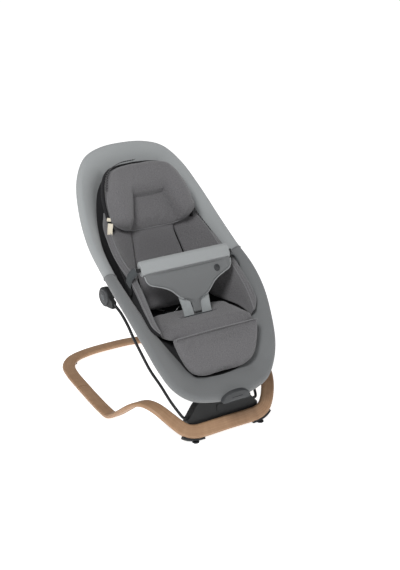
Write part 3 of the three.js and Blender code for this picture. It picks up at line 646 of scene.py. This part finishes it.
def stadium(width, thickness, steps=9):
    """A flat bar's section with round edges."""
    points = []
    for side in (1, -1):
        for angle in np.radians(np.linspace(-90, 90, steps)):
            x = (width - thickness) / 2 + math.cos(angle) * thickness / 2
            points.append([side * x, side * math.sin(angle) * thickness / 2])
    return points


def rail_height(y):
    """Height of the rails over the floor, and its slope, at places along Y."""
    run = FLOOR_RAIL["y"] - CREST["y"]
    t = np.clip((y - CREST["y"]) / run, 0, 1)
    drop = CREST["z"] - FLOOR_RAIL["z"]
    rear, rear_slope = CREST["z"] - drop * smooth(t), -6 * drop * t * (1 - t) / run
    run = CREST["y"] - BAR["y"]
    t = np.clip((y - BAR["y"]) / run, 0, 1)
    start = math.tan(math.radians(BAR["slope"])) * run
    rise = CREST["z"] - BAR["z"]
    front = BAR["z"] + start * (t**3 - 2 * t**2 + t) + rise * smooth(t)
    front_slope = (start * (3 * t * t - 4 * t + 1) + 6 * rise * t * (1 - t)) / run
    return np.where(y >= CREST["y"], rear, front), np.where(y >= CREST["y"], rear_slope, front_slope)


def base_tube(name, start, end, count):
    place = np.linspace(start, end, count)
    plan = closed_curve(BASE_PLAN)
    origin = plan.at(place)
    way = unit(plan.at(place + 0.002) - plan.at(place - 0.002))
    height, slope = rail_height(origin[:, 1])
    origin[:, 2] = height
    tangent = unit(np.stack([way[:, 0], way[:, 1], way[:, 1] * slope], 1))
    normal = unit(np.stack([0 * slope, -slope, 1 + 0 * slope], 1))
    section = stadium(BAND["width"], BAND["thickness"])
    patch = sweep_patch(section, origin, np.cross(normal, tangent), normal)
    make("wood_" + name, [patch], wood, "base", [f"base_{name}_tube"], sharp=50)


def base():
    end = TUBE_JOINT - TUBE_GAP
    start = TUBE_JOINT + TUBE_GAP
    whole = 2 * (len(BASE_PLAN) - 1)
    base_tube("front", -end, end, 300)
    base_tube("rear", start, whole - start, 200)
    dress(pair("base_spigot") + ["hinge_rod", "latch_strike"], steel, 0.3)
    dress(pair("front_foot_shoe"), rubber, 1.2)
    dress(pair("front_foot_pad") + pair("rear_foot"), rubber, 0.8)
    dress(pair("hinge_bracket"), charcoal, 0.8)


# ---------------- housing, wire and hubs

def leaning(points, y, z, lean):
    """Points drawn on a leaning face, with Y up the face and Z out of its front."""
    across, up, out = np.moveaxis(np.asarray(points, float), -1, 0)
    c, s = math.cos(math.radians(lean)), math.sin(math.radians(lean))
    return np.stack([across, y + c * up - s * out, z + s * up + c * out], -1)


def housing():
    dress(["housing_front", "housing_rear"], charcoal, 1.2)
    dress(["fold_button"], charcoal, 0.8)
    dress(["latch_bolt", "latch_spring"], steel, 0.2)


def support_wire():
    other = [[-p[0], *p[1:]] for p in WIRE_HALF[::-1]]
    path = Curve(other + WIRE_HALF)
    place = np.linspace(0.01, path.count - 1.01, 260)
    origin, across, normal = frames(path, place, np.array([0, 0.85, -0.53]))
    patch = sweep_patch(ring_points(WIRE_RADIUS, 16), origin, across, normal)
    make("wire", [patch], powder, "support", ["support_wire"], sharp=50)


def hub(side, name):
    """Recline button: a turned cap with a hollow back, a groove and two slanting bars on its face."""
    r, low, face = HUB["button"], HUB["low"], HUB["face"]
    disc = face - 3.4
    inner = r - 2.4
    profile = [
        [0.5, disc], [inner, disc], [inner, low], [r, low],
        [r, face - 2.4], [r - 0.5, face - 1.2], [r - 1.6, face - 0.5], [r - 4, face - 0.2],
        [r - 5, face - 0.9], [r - 6, face - 0.9], [r - 7, face - 0.2], [8, face], [0.5, face],
    ]
    body = f"hub_button_{name}"
    cap = lathe_patch(profile, side, 64)
    make(f"recline_button_{name}", [cap], button_grey, body, [body], sharp=50)
    bars = []
    for shift in (-3.2, 3.2):
        rise = np.linspace(-6, 6, 8)
        line = [np.full(8, side * (face + 0.1)), HUB["y"] + shift + rise * 0.4, HUB["z"] + rise]
        bars.append(cord_patch(np.stack(line, 1), 0.9))
    make(f"recline_marks_{name}", bars, mark_grey, body, sharp=50)


def support():
    support_wire()
    for side, name in SIDES:
        hub(side, name)
    dress(pair("hub_housing"), charcoal, 1.0)
    for name in ("hub_axle", "hub_spring", "lock_pin", "detent_plate"):
        dress(pair(name), steel, 0.2)
    dress(pair("rim_bracket"), charcoal, 0.8)
    dress(["seat_tube_upper", "seat_tube_lower"], steel, 0.1)


# ---------------- fabric shell

RIM = closed_curve(RIM_HALF)
RIM_FACING = np.array([0, -0.6, 0.8])
SLEEVE_START = -235                     # angle round the tube, in degrees, where the cloth starts


def shell_profile(place):
    """Rows of points from under the rim tube, round its outside, over the lip and down to the spine."""
    origin, across, normal = frames(RIM, place, RIM_FACING)
    slope = np.radians(look_up(LIP_SLOPE, place))
    width = look_up(LIP_WIDTH, place)
    spine = np.concatenate([np.zeros((len(place), 1)), look_up(SPINE, place)], 1)
    way = unit(look_up(SPINE, place + 0.02) - look_up(SPINE, place - 0.02))
    out = np.stack([0 * way[:, 0], -way[:, 1], way[:, 0]], 1)
    turn = np.linspace(np.full_like(slope, math.radians(SLEEVE_START)), slope, RING_ROWS, axis=1)
    ring = origin[:, None] + WRAP * (np.sin(turn) * across[:, None] + np.cos(turn) * normal[:, None])
    lip = np.cos(slope) * across - np.sin(slope) * normal
    reach = width - WRAP * np.sin(slope)
    steps = np.linspace(0.12, 1, LIP_ROWS)[None, :, None]
    up = np.sin(slope) * across + np.cos(slope) * normal
    bend = look_up(LIP_BEND, place)
    drop = (bend * reach * up)[:, None] * steps**2
    edge_run = ring[:, -1:] + lip[:, None] * reach[:, None] * steps - drop
    edge = edge_run[:, -1]
    height = ((edge - spine) * out).sum(1, keepdims=True)
    foot = spine + look_up(WALL_REACH, place) * (edge - spine - height * out)
    roll = np.clip(10 + 6 * (place - 10), 10, 16)[:, None]
    control = [edge, edge + unit(lip - 2 * bend * up) * roll, foot + out * 0.35 * height, foot, spine]
    t = np.linspace(0, 1, WALL_ROWS + 1)[None, 1:, None]
    weights = [math.comb(4, k) * t**k * (1 - t) ** (4 - k) for k in range(5)]
    wall = sum(w * c[:, None] for w, c in zip(weights, control))
    return np.concatenate([ring, edge_run, wall], 1)


def shell_cloth(name, place, material, stands_for):
    """A sling and its mirror image as one closed cloth. The wall's inner side gets near-black cloth: painted
    shade.
    """
    half = shell_profile(place)
    patches = [grid_patch(half), grid_patch(half * [-1, 1, 1])]
    # painted shade: the wall's rows past the lip take the near-black cloth
    painted_shade_start = RING_ROWS + LIP_ROWS + 1
    marks = np.tile(np.arange(half.shape[1] - 1) >= painted_shade_start, 2 * (len(place) - 1)).astype(int)
    obj = make(name, patches, material, "seat", stands_for, weld=1e-5, marks=marks)
    obj.data.materials.append(painted_shade_cloth)
    obj.data.materials.append(material)
    thick = obj.modifiers.new("Thickness", "SOLIDIFY")
    thick.thickness = CLOTH / 1000
    thick.offset = -1
    thick.material_offset = 2
    bpy.context.view_layer.update()
    depsgraph = bpy.context.evaluated_depsgraph_get()
    solid = bpy.data.meshes.new_from_object(obj.evaluated_get(depsgraph))
    obj.modifiers.remove(thick)
    obj.data = solid
    return obj


def shell_seam():
    """Doubled seam where the light and the dark cloth meet."""
    line = shell_profile(np.array([SEAM]))[0][3:-1]
    make("shell_seam", both_sides(line, 1.7), shell_dark, "seat")


def shells():
    upper = shell_cloth("shell_upper", np.linspace(SEAM + SEAM_GAP, HEAD, 110), shell_light,
                        ["rim_sleeve_upper", "sling_upper"])
    lower = shell_cloth("shell_lower", np.linspace(0, SEAM - SEAM_GAP, 130), shell_dark,
                        ["rim_sleeve_lower", "sling_lower"])
    shell_seam()


def badge():
    """Cap on the rim's foot end: a plain domed arch with a raised border and a blank bar."""
    half = [[0, 0], [18, 0], [35, 0], [42, 4], [40, 12], [32, 20.5], [19, 26.5], [0, 28.5]]
    outline = closed_curve(half).even(0, 14, 97)[:-1]
    middle = np.array([0, 12])
    rings = []
    for share, height in ((1.0, -9), (1.0, 0), (0.985, 1.6), (0.95, 2.6), (0.92, 2.6), (0.90, 1.9),
                          (0.87, 1.9), (0.6, 3.0), (0.3, 3.6), (0.05, 3.8)):
        flat = middle + (outline - middle) * share
        rings.append(np.concatenate([flat, np.full((len(flat), 1), height)], 1))
    points = leaning(np.array(rings), **CAP)
    make("rim_cap", [solid_patch(points)], button_grey, "seat",
         ["front_badge"], sharp=50)
    line = leaning([[x, 13, 3.3] for x in np.linspace(-15, 15, 12)], **CAP)
    make("rim_cap_bar", [cord_patch(line, 1.7, 10)], button_grey, "seat", sharp=50)


# ---------------- inlay

def quilted(name, half, corners, size, place, height, stands_for, radius, cap):
    """A pad over an outline. height(x, t) gives its front, in millimetres over its base."""
    grid, near, border = outline_grid(half, *corners, *size)
    base, out = place(grid)
    rise = height(grid[..., 0], grid[..., 1]) * dome(near, radius)
    depth = 2.5 * dome(near, radius)
    patch, pins = pad_patch(base, out, rise, depth)
    obj = make(name, [patch], inlay, "seat", stands_for)
    puff(obj, pins, 4.0, cap)
    rounder(obj)
    return border


def back():
    place, run, dense = surface(BACK_LINE, 14, -14)
    half = by_height([
        [0, 273], [45, 273], [80, 276], [84, 300], [79, 350], [74, 390], [67, 440], [78, 455], [104, 465],
        [123, 487], [120, 528], [111, 556], [99, 577], [79, 594], [46, 603], [0, 606],
    ], run, dense)

    def height(x, t):
        middle = np.clip(1 - (x / 74) ** 2, 0, 1)
        return 14 + 3.5 * middle * smooth((300 - t) / 80)

    quilted("back_cushion", half, (2, 12), (110, 44), place, height, ["back_pad"], 9, 1.2)


def pillow():
    place, run, dense = surface(BACK_LINE, 14, 4)
    half = by_height([
        [0, 449], [35, 449], [70, 450], [102, 457], [126, 474], [126, 498], [122, 524], [113, 550],
        [101, 572], [83, 589], [52, 598], [0, 601],
    ], run, dense)
    top = float(np.interp(525, dense[:, 1], run))
    low = float(np.interp(449, dense[:, 1], run))

    def height(x, t):
        wide = 76 - 26 * np.clip((t - low) / (top - low), 0, 1)
        beside, above = (np.abs(x) - wide) * 0.96, t - top
        corner = (beside > 0) & (above > 0)
        outside = np.where(corner, np.hypot(beside, above), np.maximum(beside, above))
        return 9 + 30 * dome(np.maximum(outside, 0), 30)

    border = quilted("pillow", half, (4, 8), (64, 84), place, height, ["head_pillow"], 24, 4)
    line, out = place(border[np.argsort(np.arctan2(border[:, 1] - top, border[:, 0]))])
    make("pillow_piping", [cord_patch(line + out * 1.5, 1.3, 6, True)], inlay_edge, "seat")


def seat():
    place = surface(SEAT_LINE, 0, 0)[0]
    length = 149.0
    half = [
        [0, 0], [60, 0], [104, 1], [123, 8], [129, 26], [130, 62], [130, 100], [125, 132], [106, 146],
        [56, length], [0, length],
    ]
    slot_at = CROTCH["y"] - SEAT_LINE[0][0] - 1

    def height(x, t):
        crown = 7 * np.sin(np.pi * np.clip(t / length, 0, 1)) * (1 - np.clip(np.abs(x) / 129, 0, 1) ** 4)
        groove = smooth(1 - np.abs(t - slot_at) / 5.5) * smooth((56 - np.abs(x)) / 4)
        return 20 + crown - 10 * groove

    quilted("seat_cushion", half, (3, 8), (76, 72), place, height, ["seat_pad"], 20, 2.5)


def leg():
    place, run = surface(LEG_LINE, 7, -13)[:2]
    length = float(run[-1])
    half = [
        [0, 0], [40, 0], [66, 4], [88, 15], [103, 33], [114, 56], [122, 80], [125, length - 3], [90, length],
        [0, length],
    ]

    def height(x, t):
        return 14 + 6 * np.sin(np.pi * np.clip(t / length, 0, 1)) * (1 - (x / 130) ** 2)

    border = quilted("leg_cushion", half, (3, 7), (56, 70), place, height, ["leg_pad"], 13, 3)
    top = border[border[:, 1] > length - 6]
    line, out = place(top[np.argsort(top[:, 0])])
    make("seat_seam", [cord_patch(line + out * 13, 1.1, 6)], inlay_edge, "seat")


def wing(side, name):
    """Side wing: a bulging face, a piped band along its raised edge, and a back under a near-black sheet of
    painted shade.
    """
    count = 96
    last = len(WING_EDGE) - 1
    place = np.linspace(0, last, count)
    edge, foot = Curve(WING_EDGE).at(place), Curve(WING_FOOT).at(place)
    up = np.linspace(0, 1, 14)[None, :, None]
    face = foot[:, None] * (1 - up) + edge[:, None] * up
    bulge = np.sin(np.pi * up) * 9 * np.minimum(1, (last - place) / 1.5)[:, None, None]
    face = face + bulge * np.array([0.8, 0, -0.6])
    rise, along = np.gradient(face, axis=1), np.gradient(face, axis=0)
    inward = unit(np.cross(along, rise))
    thick = (5 + 10 * smooth(up * 1.3)) * smooth(0.25 + (last - place) / 1.6)[:, None, None]
    puffed = 3 * np.sin(np.pi * np.clip(up, 0, 1)) ** 0.7
    front = face + inward * puffed
    rear = face - inward * thick
    middle = edge - inward[:, -1] * thick[:, -1] / 2 + unit(edge - foot) * 1.5
    loop = np.concatenate([front, middle[:, None], rear[:, ::-1]], 1) * [side, 1, 1]
    obj = make(f"wing_{name}", [solid_patch(loop)], inlay, "seat", [f"side_wing_{name}"])
    # painted shade: a near-black sheet over the wing's back, where it lies in deep shade
    skin, skin_out = rear[:, :-1], inward[:, :-1]
    shade_sheet = np.concatenate([skin - skin_out * 0.9, (skin + skin_out * 0.3)[:, ::-1]], 1) * [side, 1, 1]
    make(f"wing_painted_shade_{name}", [solid_patch(shade_sheet)], painted_shade_cloth, "seat")
    lines = [line + unit(edge - foot) * 0.6 for line in (edge, rear[:, -1])]
    piping = [cord_patch(line * [side, 1, 1], 1.3) for line in lines]
    make(f"wing_piping_{name}", piping, inlay_edge, "seat")


def pillow_shade_cord():
    """Near-black cords on both sides of the pillow: painted shade in the gap between the inlay and the
    shell.
    """
    place, run, dense = surface(BACK_LINE, 14, -11)
    half = by_height([
        [120, 455], [126, 475], [127, 505], [125, 530], [116, 556], [104, 577], [83, 594], [48, 603],
        [0, 606],
    ], run, dense)
    line = place(line_through(half, 60))[0]
    make("pillow_painted_shade", both_sides(line, 4.5, 10), painted_shade_cloth, "seat")


def stitches():
    """Dark zig-zag elastic between the inlay and the shell, beside the pillow."""
    place, run, dense = surface(BACK_LINE, 14, -4)
    half = by_height([
        [126, 492], [126, 528], [117, 556], [104, 579], [82, 597], [48, 608], [0, 611],
    ], run, dense)
    path, out = place(Curve([[-x, t] for x, t in half]).even(1.6, 6, 43))
    patches = []
    for k in range(len(path) - 1):
        low, high = (4, 16) if k % 2 else (16, 4)
        start, end = path[k] + out[k] * low, path[k + 1] + out[k + 1] * high
        patches.append(cord_patch([start, (start + end) / 2 + out[k], end], 0.8, 6))
    edge = line_through([[133, 46, 482], [137, 26, 465], [141, 9, 452], [145.5, -20, 432]], 19)
    for k in range(len(edge) - 1):
        shift = np.array([3.5, 0, -2.5]) * (1 if k % 2 else -1)
        middle = (edge[k] + edge[k + 1]) / 2
        patches.append(cord_patch([edge[k] + shift, middle, edge[k + 1] - shift], 0.8, 6))
    make("elastic_stitches", patches, thread_dark, "seat")


def label(name, at, size):
    """A small blank cloth label, folded flat."""
    width, height = size
    facing = unit(np.array([-0.75, -0.6, 0.25]))
    across = unit(np.cross([0, 0, 1], facing))
    up = np.cross(facing, across)
    rows = []
    for t in np.linspace(0, 1, 9):
        centre = np.array(at) + up * (t - 0.5) * height + facing * 1.6 * math.sin(math.pi * t)
        ring = stadium(width, 0.9, 4)
        rows.append([centre + across * x + facing * z for x, z in ring])
    make(name, [solid_patch(rows)], label_cream, "seat", sharp=50)


def inlay_pieces():
    back()
    pillow()
    seat()
    leg()
    for side, name in SIDES:
        wing(side, name)
    pillow_shade_cord()
    stitches()
    label("label_small", [-130, 41, 493], (11, 9))
    label("label_large", [-134, 29, 471], (14, 30))


# ---------------- harness

def on_harness(points):
    """Moves points from the harness's own axes to the drawing's, bowed forward in the middle."""
    points = np.array(points, float)
    rise = smooth((points[..., 1] - 40) / 60)
    points[..., 2] += 6 * (1 - (points[..., 0] / ROLL["half"]) ** 2) * rise
    return leaning(points, **CROTCH)


PAD_HALF = [
    [0, 2], [9, 2], [12, 5], [12, 18], [13, 28], [24, 37], [42, 46], [53, 56], [64, 67], [82, 78], [104, 87],
    [119, 93], [127, 102], [129.5, 112], [129, 120], [70, 120], [0, 120],
]


def harness_pad():
    grid, near, border = outline_grid(PAD_HALF, 2, 13, 64, 64)
    flat = np.concatenate([grid, np.zeros((*near.shape, 1))], -1)
    base = on_harness(flat)
    out = on_harness(flat + [0, 0, 1]) - base
    height = 8 * (0.4 + 0.6 * smooth((grid[..., 1] - 8) / 34))
    patch, pins = pad_patch(base, out, height * dome(near, 7), 1.0 * dome(near, 5))
    obj = make("harness_cushion", [patch], harness_cloth, "harness", ["harness_pad"])
    puff(obj, pins, 3.0, 1.0)
    rounder(obj)
    side = border[(border[:, 1] < 118) & (border[:, 1] > 41) & (border[:, 0] > 30)]
    line = on_harness(np.column_stack([side, np.full(len(side), 4.0)]))
    make("harness_piping", both_sides(line, 1.4), light_piping, "harness")


def rounded(width, height, corner):
    """A rectangle's outline with round corners."""
    points = []
    for cx, cy, start in ((1, -1, -90), (1, 1, 0), (-1, 1, 90), (-1, -1, 180)):
        for angle in np.radians(np.linspace(start, start + 90, 8)):
            x = cx * (width / 2 - corner) + corner * math.cos(angle)
            y = cy * (height / 2 - corner) + corner * math.sin(angle)
            points.append([x, y])
    return np.array(points)


def roll_ring(section, x):
    """The roll's section at a place along it, in the harness's axes."""
    return np.stack([np.full(len(section), x), ROLL["up"] + section[:, 0], ROLL["out"] + section[:, 1]], 1)


def harness_roll():
    """Padded roll along the harness's top, with piping round each end and a seam where the pad meets it."""
    section = rounded(40, 22, 10.8)
    end = np.array([128, 131, 132.6, ROLL["half"]])
    x = np.concatenate([-end[::-1], np.linspace(-124, 124, 60), end])
    size = 1 - 0.22 * (1 - dome(ROLL["half"] - np.abs(x), 7))
    rows = []
    for place, share in zip(x, size):
        ripple = 0.5 * math.sin(place * 0.11) * math.sin(place * 0.037 + 1)
        rows.append(roll_ring(section * share * (1 + 0.02 * ripple), place))
    points = on_harness(rows)
    obj = make("harness_roll_cover", [solid_patch(points)], shell_light, "harness",
               ["harness_roll"])
    rings = [roll_ring(section * 0.93, 130.5 * side) for side in (1, -1)]
    patches = [cord_patch(on_harness(ring), 1.2, closed=True) for ring in rings]
    seam = cord_patch(on_harness([[s, 119.4, 4.6] for s in np.linspace(-126, 126, 60)]), 1.9)
    make("harness_seam", [seam], harness_cloth, "harness")
    make("harness_roll_piping", patches, light_piping, "harness")


def flat_band(rows, thick, material, name, body, stands_for):
    """A flat strap. rows are pairs of edge points, and thick is towards its outer face."""
    loops = []
    rows = np.asarray(rows, float)
    middle = rows.mean(1)
    along = unit(np.gradient(middle, axis=0))
    for (a, b), way in zip(rows, along):
        out = unit(np.cross(b - a, way)) * thick / 2
        centre = (a + b) / 2
        loops.append([a - out, a + out, centre + out * 1.15, b + out, b - out, centre - out])
    make(name, [solid_patch(loops)], material, body, [stands_for], sharp=50)


def crotch_straps():
    """Two flat straps that spread from the crotch slot up to the pad."""
    for side, name in SIDES:
        rows = []
        for t in np.linspace(0, 1, 16):
            y = -3 + 61 * t
            lean = 6 * t * t
            edges = [[side * (12.6 + lean * 1.4), y, -1.9 - t], [side * (41 + lean), y, -1.9 - t]]
            rows.append(on_harness(edges))
        flat_band(rows, 2.8, crotch_web, f"crotch_webbing_{name}", "harness",
                  f"crotch_strap_{name}")


def harness_button():
    """Plain round button with a ring, on the child's left of the pad."""
    profile = [(9, 7), (9, 10.2), (8.4, 11), (6.6, 11.2), (6.1, 10.4), (5.2, 10.4), (4.7, 11), (0.4, 11.3)]
    points = on_harness([
        [[78 + x, 100 + y, height] for x, y in ring_points(radius, 40)] for radius, height in profile
    ])
    make("round_button", [solid_patch(points)], button_grey, "harness",
         ["harness_button"], sharp=50)


def side_strap(side, name):
    """Strap over a wing, the socket that its end drops into, and a row of stitches along each edge."""
    run = line_through([
        [141, 400], [147, 396], [154, 391], [160, 383], [163, 373], [164, 360], [164, 350],
    ], 26)
    line = np.insert(run, 1, STRAP_Y, axis=1)
    way = unit(np.array([0.05, -0.9, -0.42]))
    mirror = np.array([side, 1, 1])
    rows = np.stack([line + way * 12, line - way * 12], 1) * mirror
    flat_band(rows, 2.0, strap_web, f"side_webbing_{name}", "seat", f"side_strap_{name}")
    end = line[-8:] + [0.4, 0, 0]
    rows = np.stack([end + way * 15, end - way * 15], 1) * mirror
    flat_band(rows, 6.5, charcoal, f"strap_socket_{name}", "seat", f"strap_clip_{name}")
    patches = []
    for shift in (-9.5, 9.5):
        thread = line + [0.9, 0, 0.9] + way * shift
        for a, b in zip(thread[2:17:2], thread[3:18:2]):
            patches.append(cord_patch(np.array([a, (a + b) / 2, b]) * mirror, 0.4, 6))
    make(f"side_stitches_{name}", patches, thread_dark, "seat")


def harness():
    harness_pad()
    harness_roll()
    crotch_straps()
    harness_button()
    for side, name in SIDES:
        side_strap(side, name)
    dress(pair("harness_hook"), charcoal, 0.8)
    dress(["crotch_anchor"], strap_web, 0.4)


# ---------------- screws

def screw(name, at, facing, body):
    """Pan-head screw with a cross recess, whose shade is painted as a dark raised cross."""
    radius = 3.2
    side = unit(np.cross(facing, [0.2, 0.5, 0.9]))
    up = np.cross(facing, side)
    rows = []
    for share, height in ((1, -1), (1, 0.6), (0.9, 1.2), (0.6, 1.7), (0.05, 1.9)):
        ring = ring_points(radius * share, 24)
        rows.append([at + side * x + up * y + facing * height for x, y in ring])
    # painted shade: dark cords stand in for the shade inside the cross recess
    cross = []
    for bar in (side, up):
        line = [at + bar * s * radius * 0.5 + facing * 1.75 for s in (-1, 0, 1)]
        cross.append(cord_patch(line, 0.35, 6))
    make(name, [solid_patch(rows)], steel, body, sharp=40)
    make(name + "_painted_shade_cross", cross, rubber, body)


def screws():
    back = -24.2
    places = leaning([[x, y, back] for x in (-60, 60) for y in (16, 40)], **HOUSING_BACK)
    facing = leaning([[0, 0, -1]], 0, 0, HOUSING_BACK["lean"])[0]
    for k, at in enumerate(places):
        screw(f"housing_screw_{k + 1}", at, facing, "housing")


# ---------------- room, light and camera

def room():
    bpy.ops.mesh.primitive_plane_add(size=60, location=(0, 0, 0))
    floor = bpy.context.object
    floor.name = "floor"
    glow = {"Emission Color": (1.0, 1.0, 1.0, 1.0), "Emission Strength": 0.85, "Specular IOR Level": 0.1}
    f = Finish("floor_white", 0.7, **glow)
    patches = f.noise(f.where("Object"), 3.0)
    f.colour(f.ramp(patches, [(0.3, (0.9, 0.9, 0.9, 1)), (0.7, (0.93, 0.93, 0.93, 1))]))
    floor.data.materials.append(f.material)
    world = bpy.data.worlds.new("studio")
    bpy.context.scene.world = world
    world.use_nodes = True
    background = world.node_tree.nodes["Background"]
    background.inputs["Color"].default_value = (1, 1, 1, 1)
    background.inputs["Strength"].default_value = 0.22


def lamp(name, at, target, size, power):
    data = bpy.data.lights.new(name, "AREA")
    data.shape = "DISK"
    data.size = size
    data.energy = power
    obj = bpy.data.objects.new(name, data)
    bpy.context.collection.objects.link(obj)
    obj.location = at
    obj.rotation_euler = (Vector(target) - Vector(at)).to_track_quat("-Z", "Y").to_euler()


def lights():
    lamp("key", (-1.9, -1.5, 2.7), (0, 0, 0.35), 1.0, 76)
    lamp("fill", (2.2, -2.4, 1.6), (0, -0.1, 0.3), 2.4, 10)
    lamp("top", (0.2, 0.6, 2.8), (0, 0, 0.3), 2.0, 8)


def camera():
    """A long lens in front of the seat, turned towards the child's left and looking down."""
    data = bpy.data.cameras.new("camera")
    data.lens = 74.61
    data.sensor_width = 36
    obj = bpy.data.objects.new("camera", data)
    bpy.context.collection.objects.link(obj)
    obj.location = (-1.55437, -2.48911 + MIDDLE_Y / 1000, 1.40737)
    turn, down = math.radians(33.986), math.radians(20.69)
    way = Vector((math.sin(turn) * math.cos(down), math.cos(turn) * math.cos(down), -math.sin(down)))
    obj.rotation_euler = way.to_track_quat("-Z", "Y").to_euler()
    bpy.context.scene.camera = obj


base()
housing()
support()
shells()
badge()
inlay_pieces()
harness()
screws()
room()
lights()
camera()
bpy.context.scene.view_settings.view_transform = "Standard"
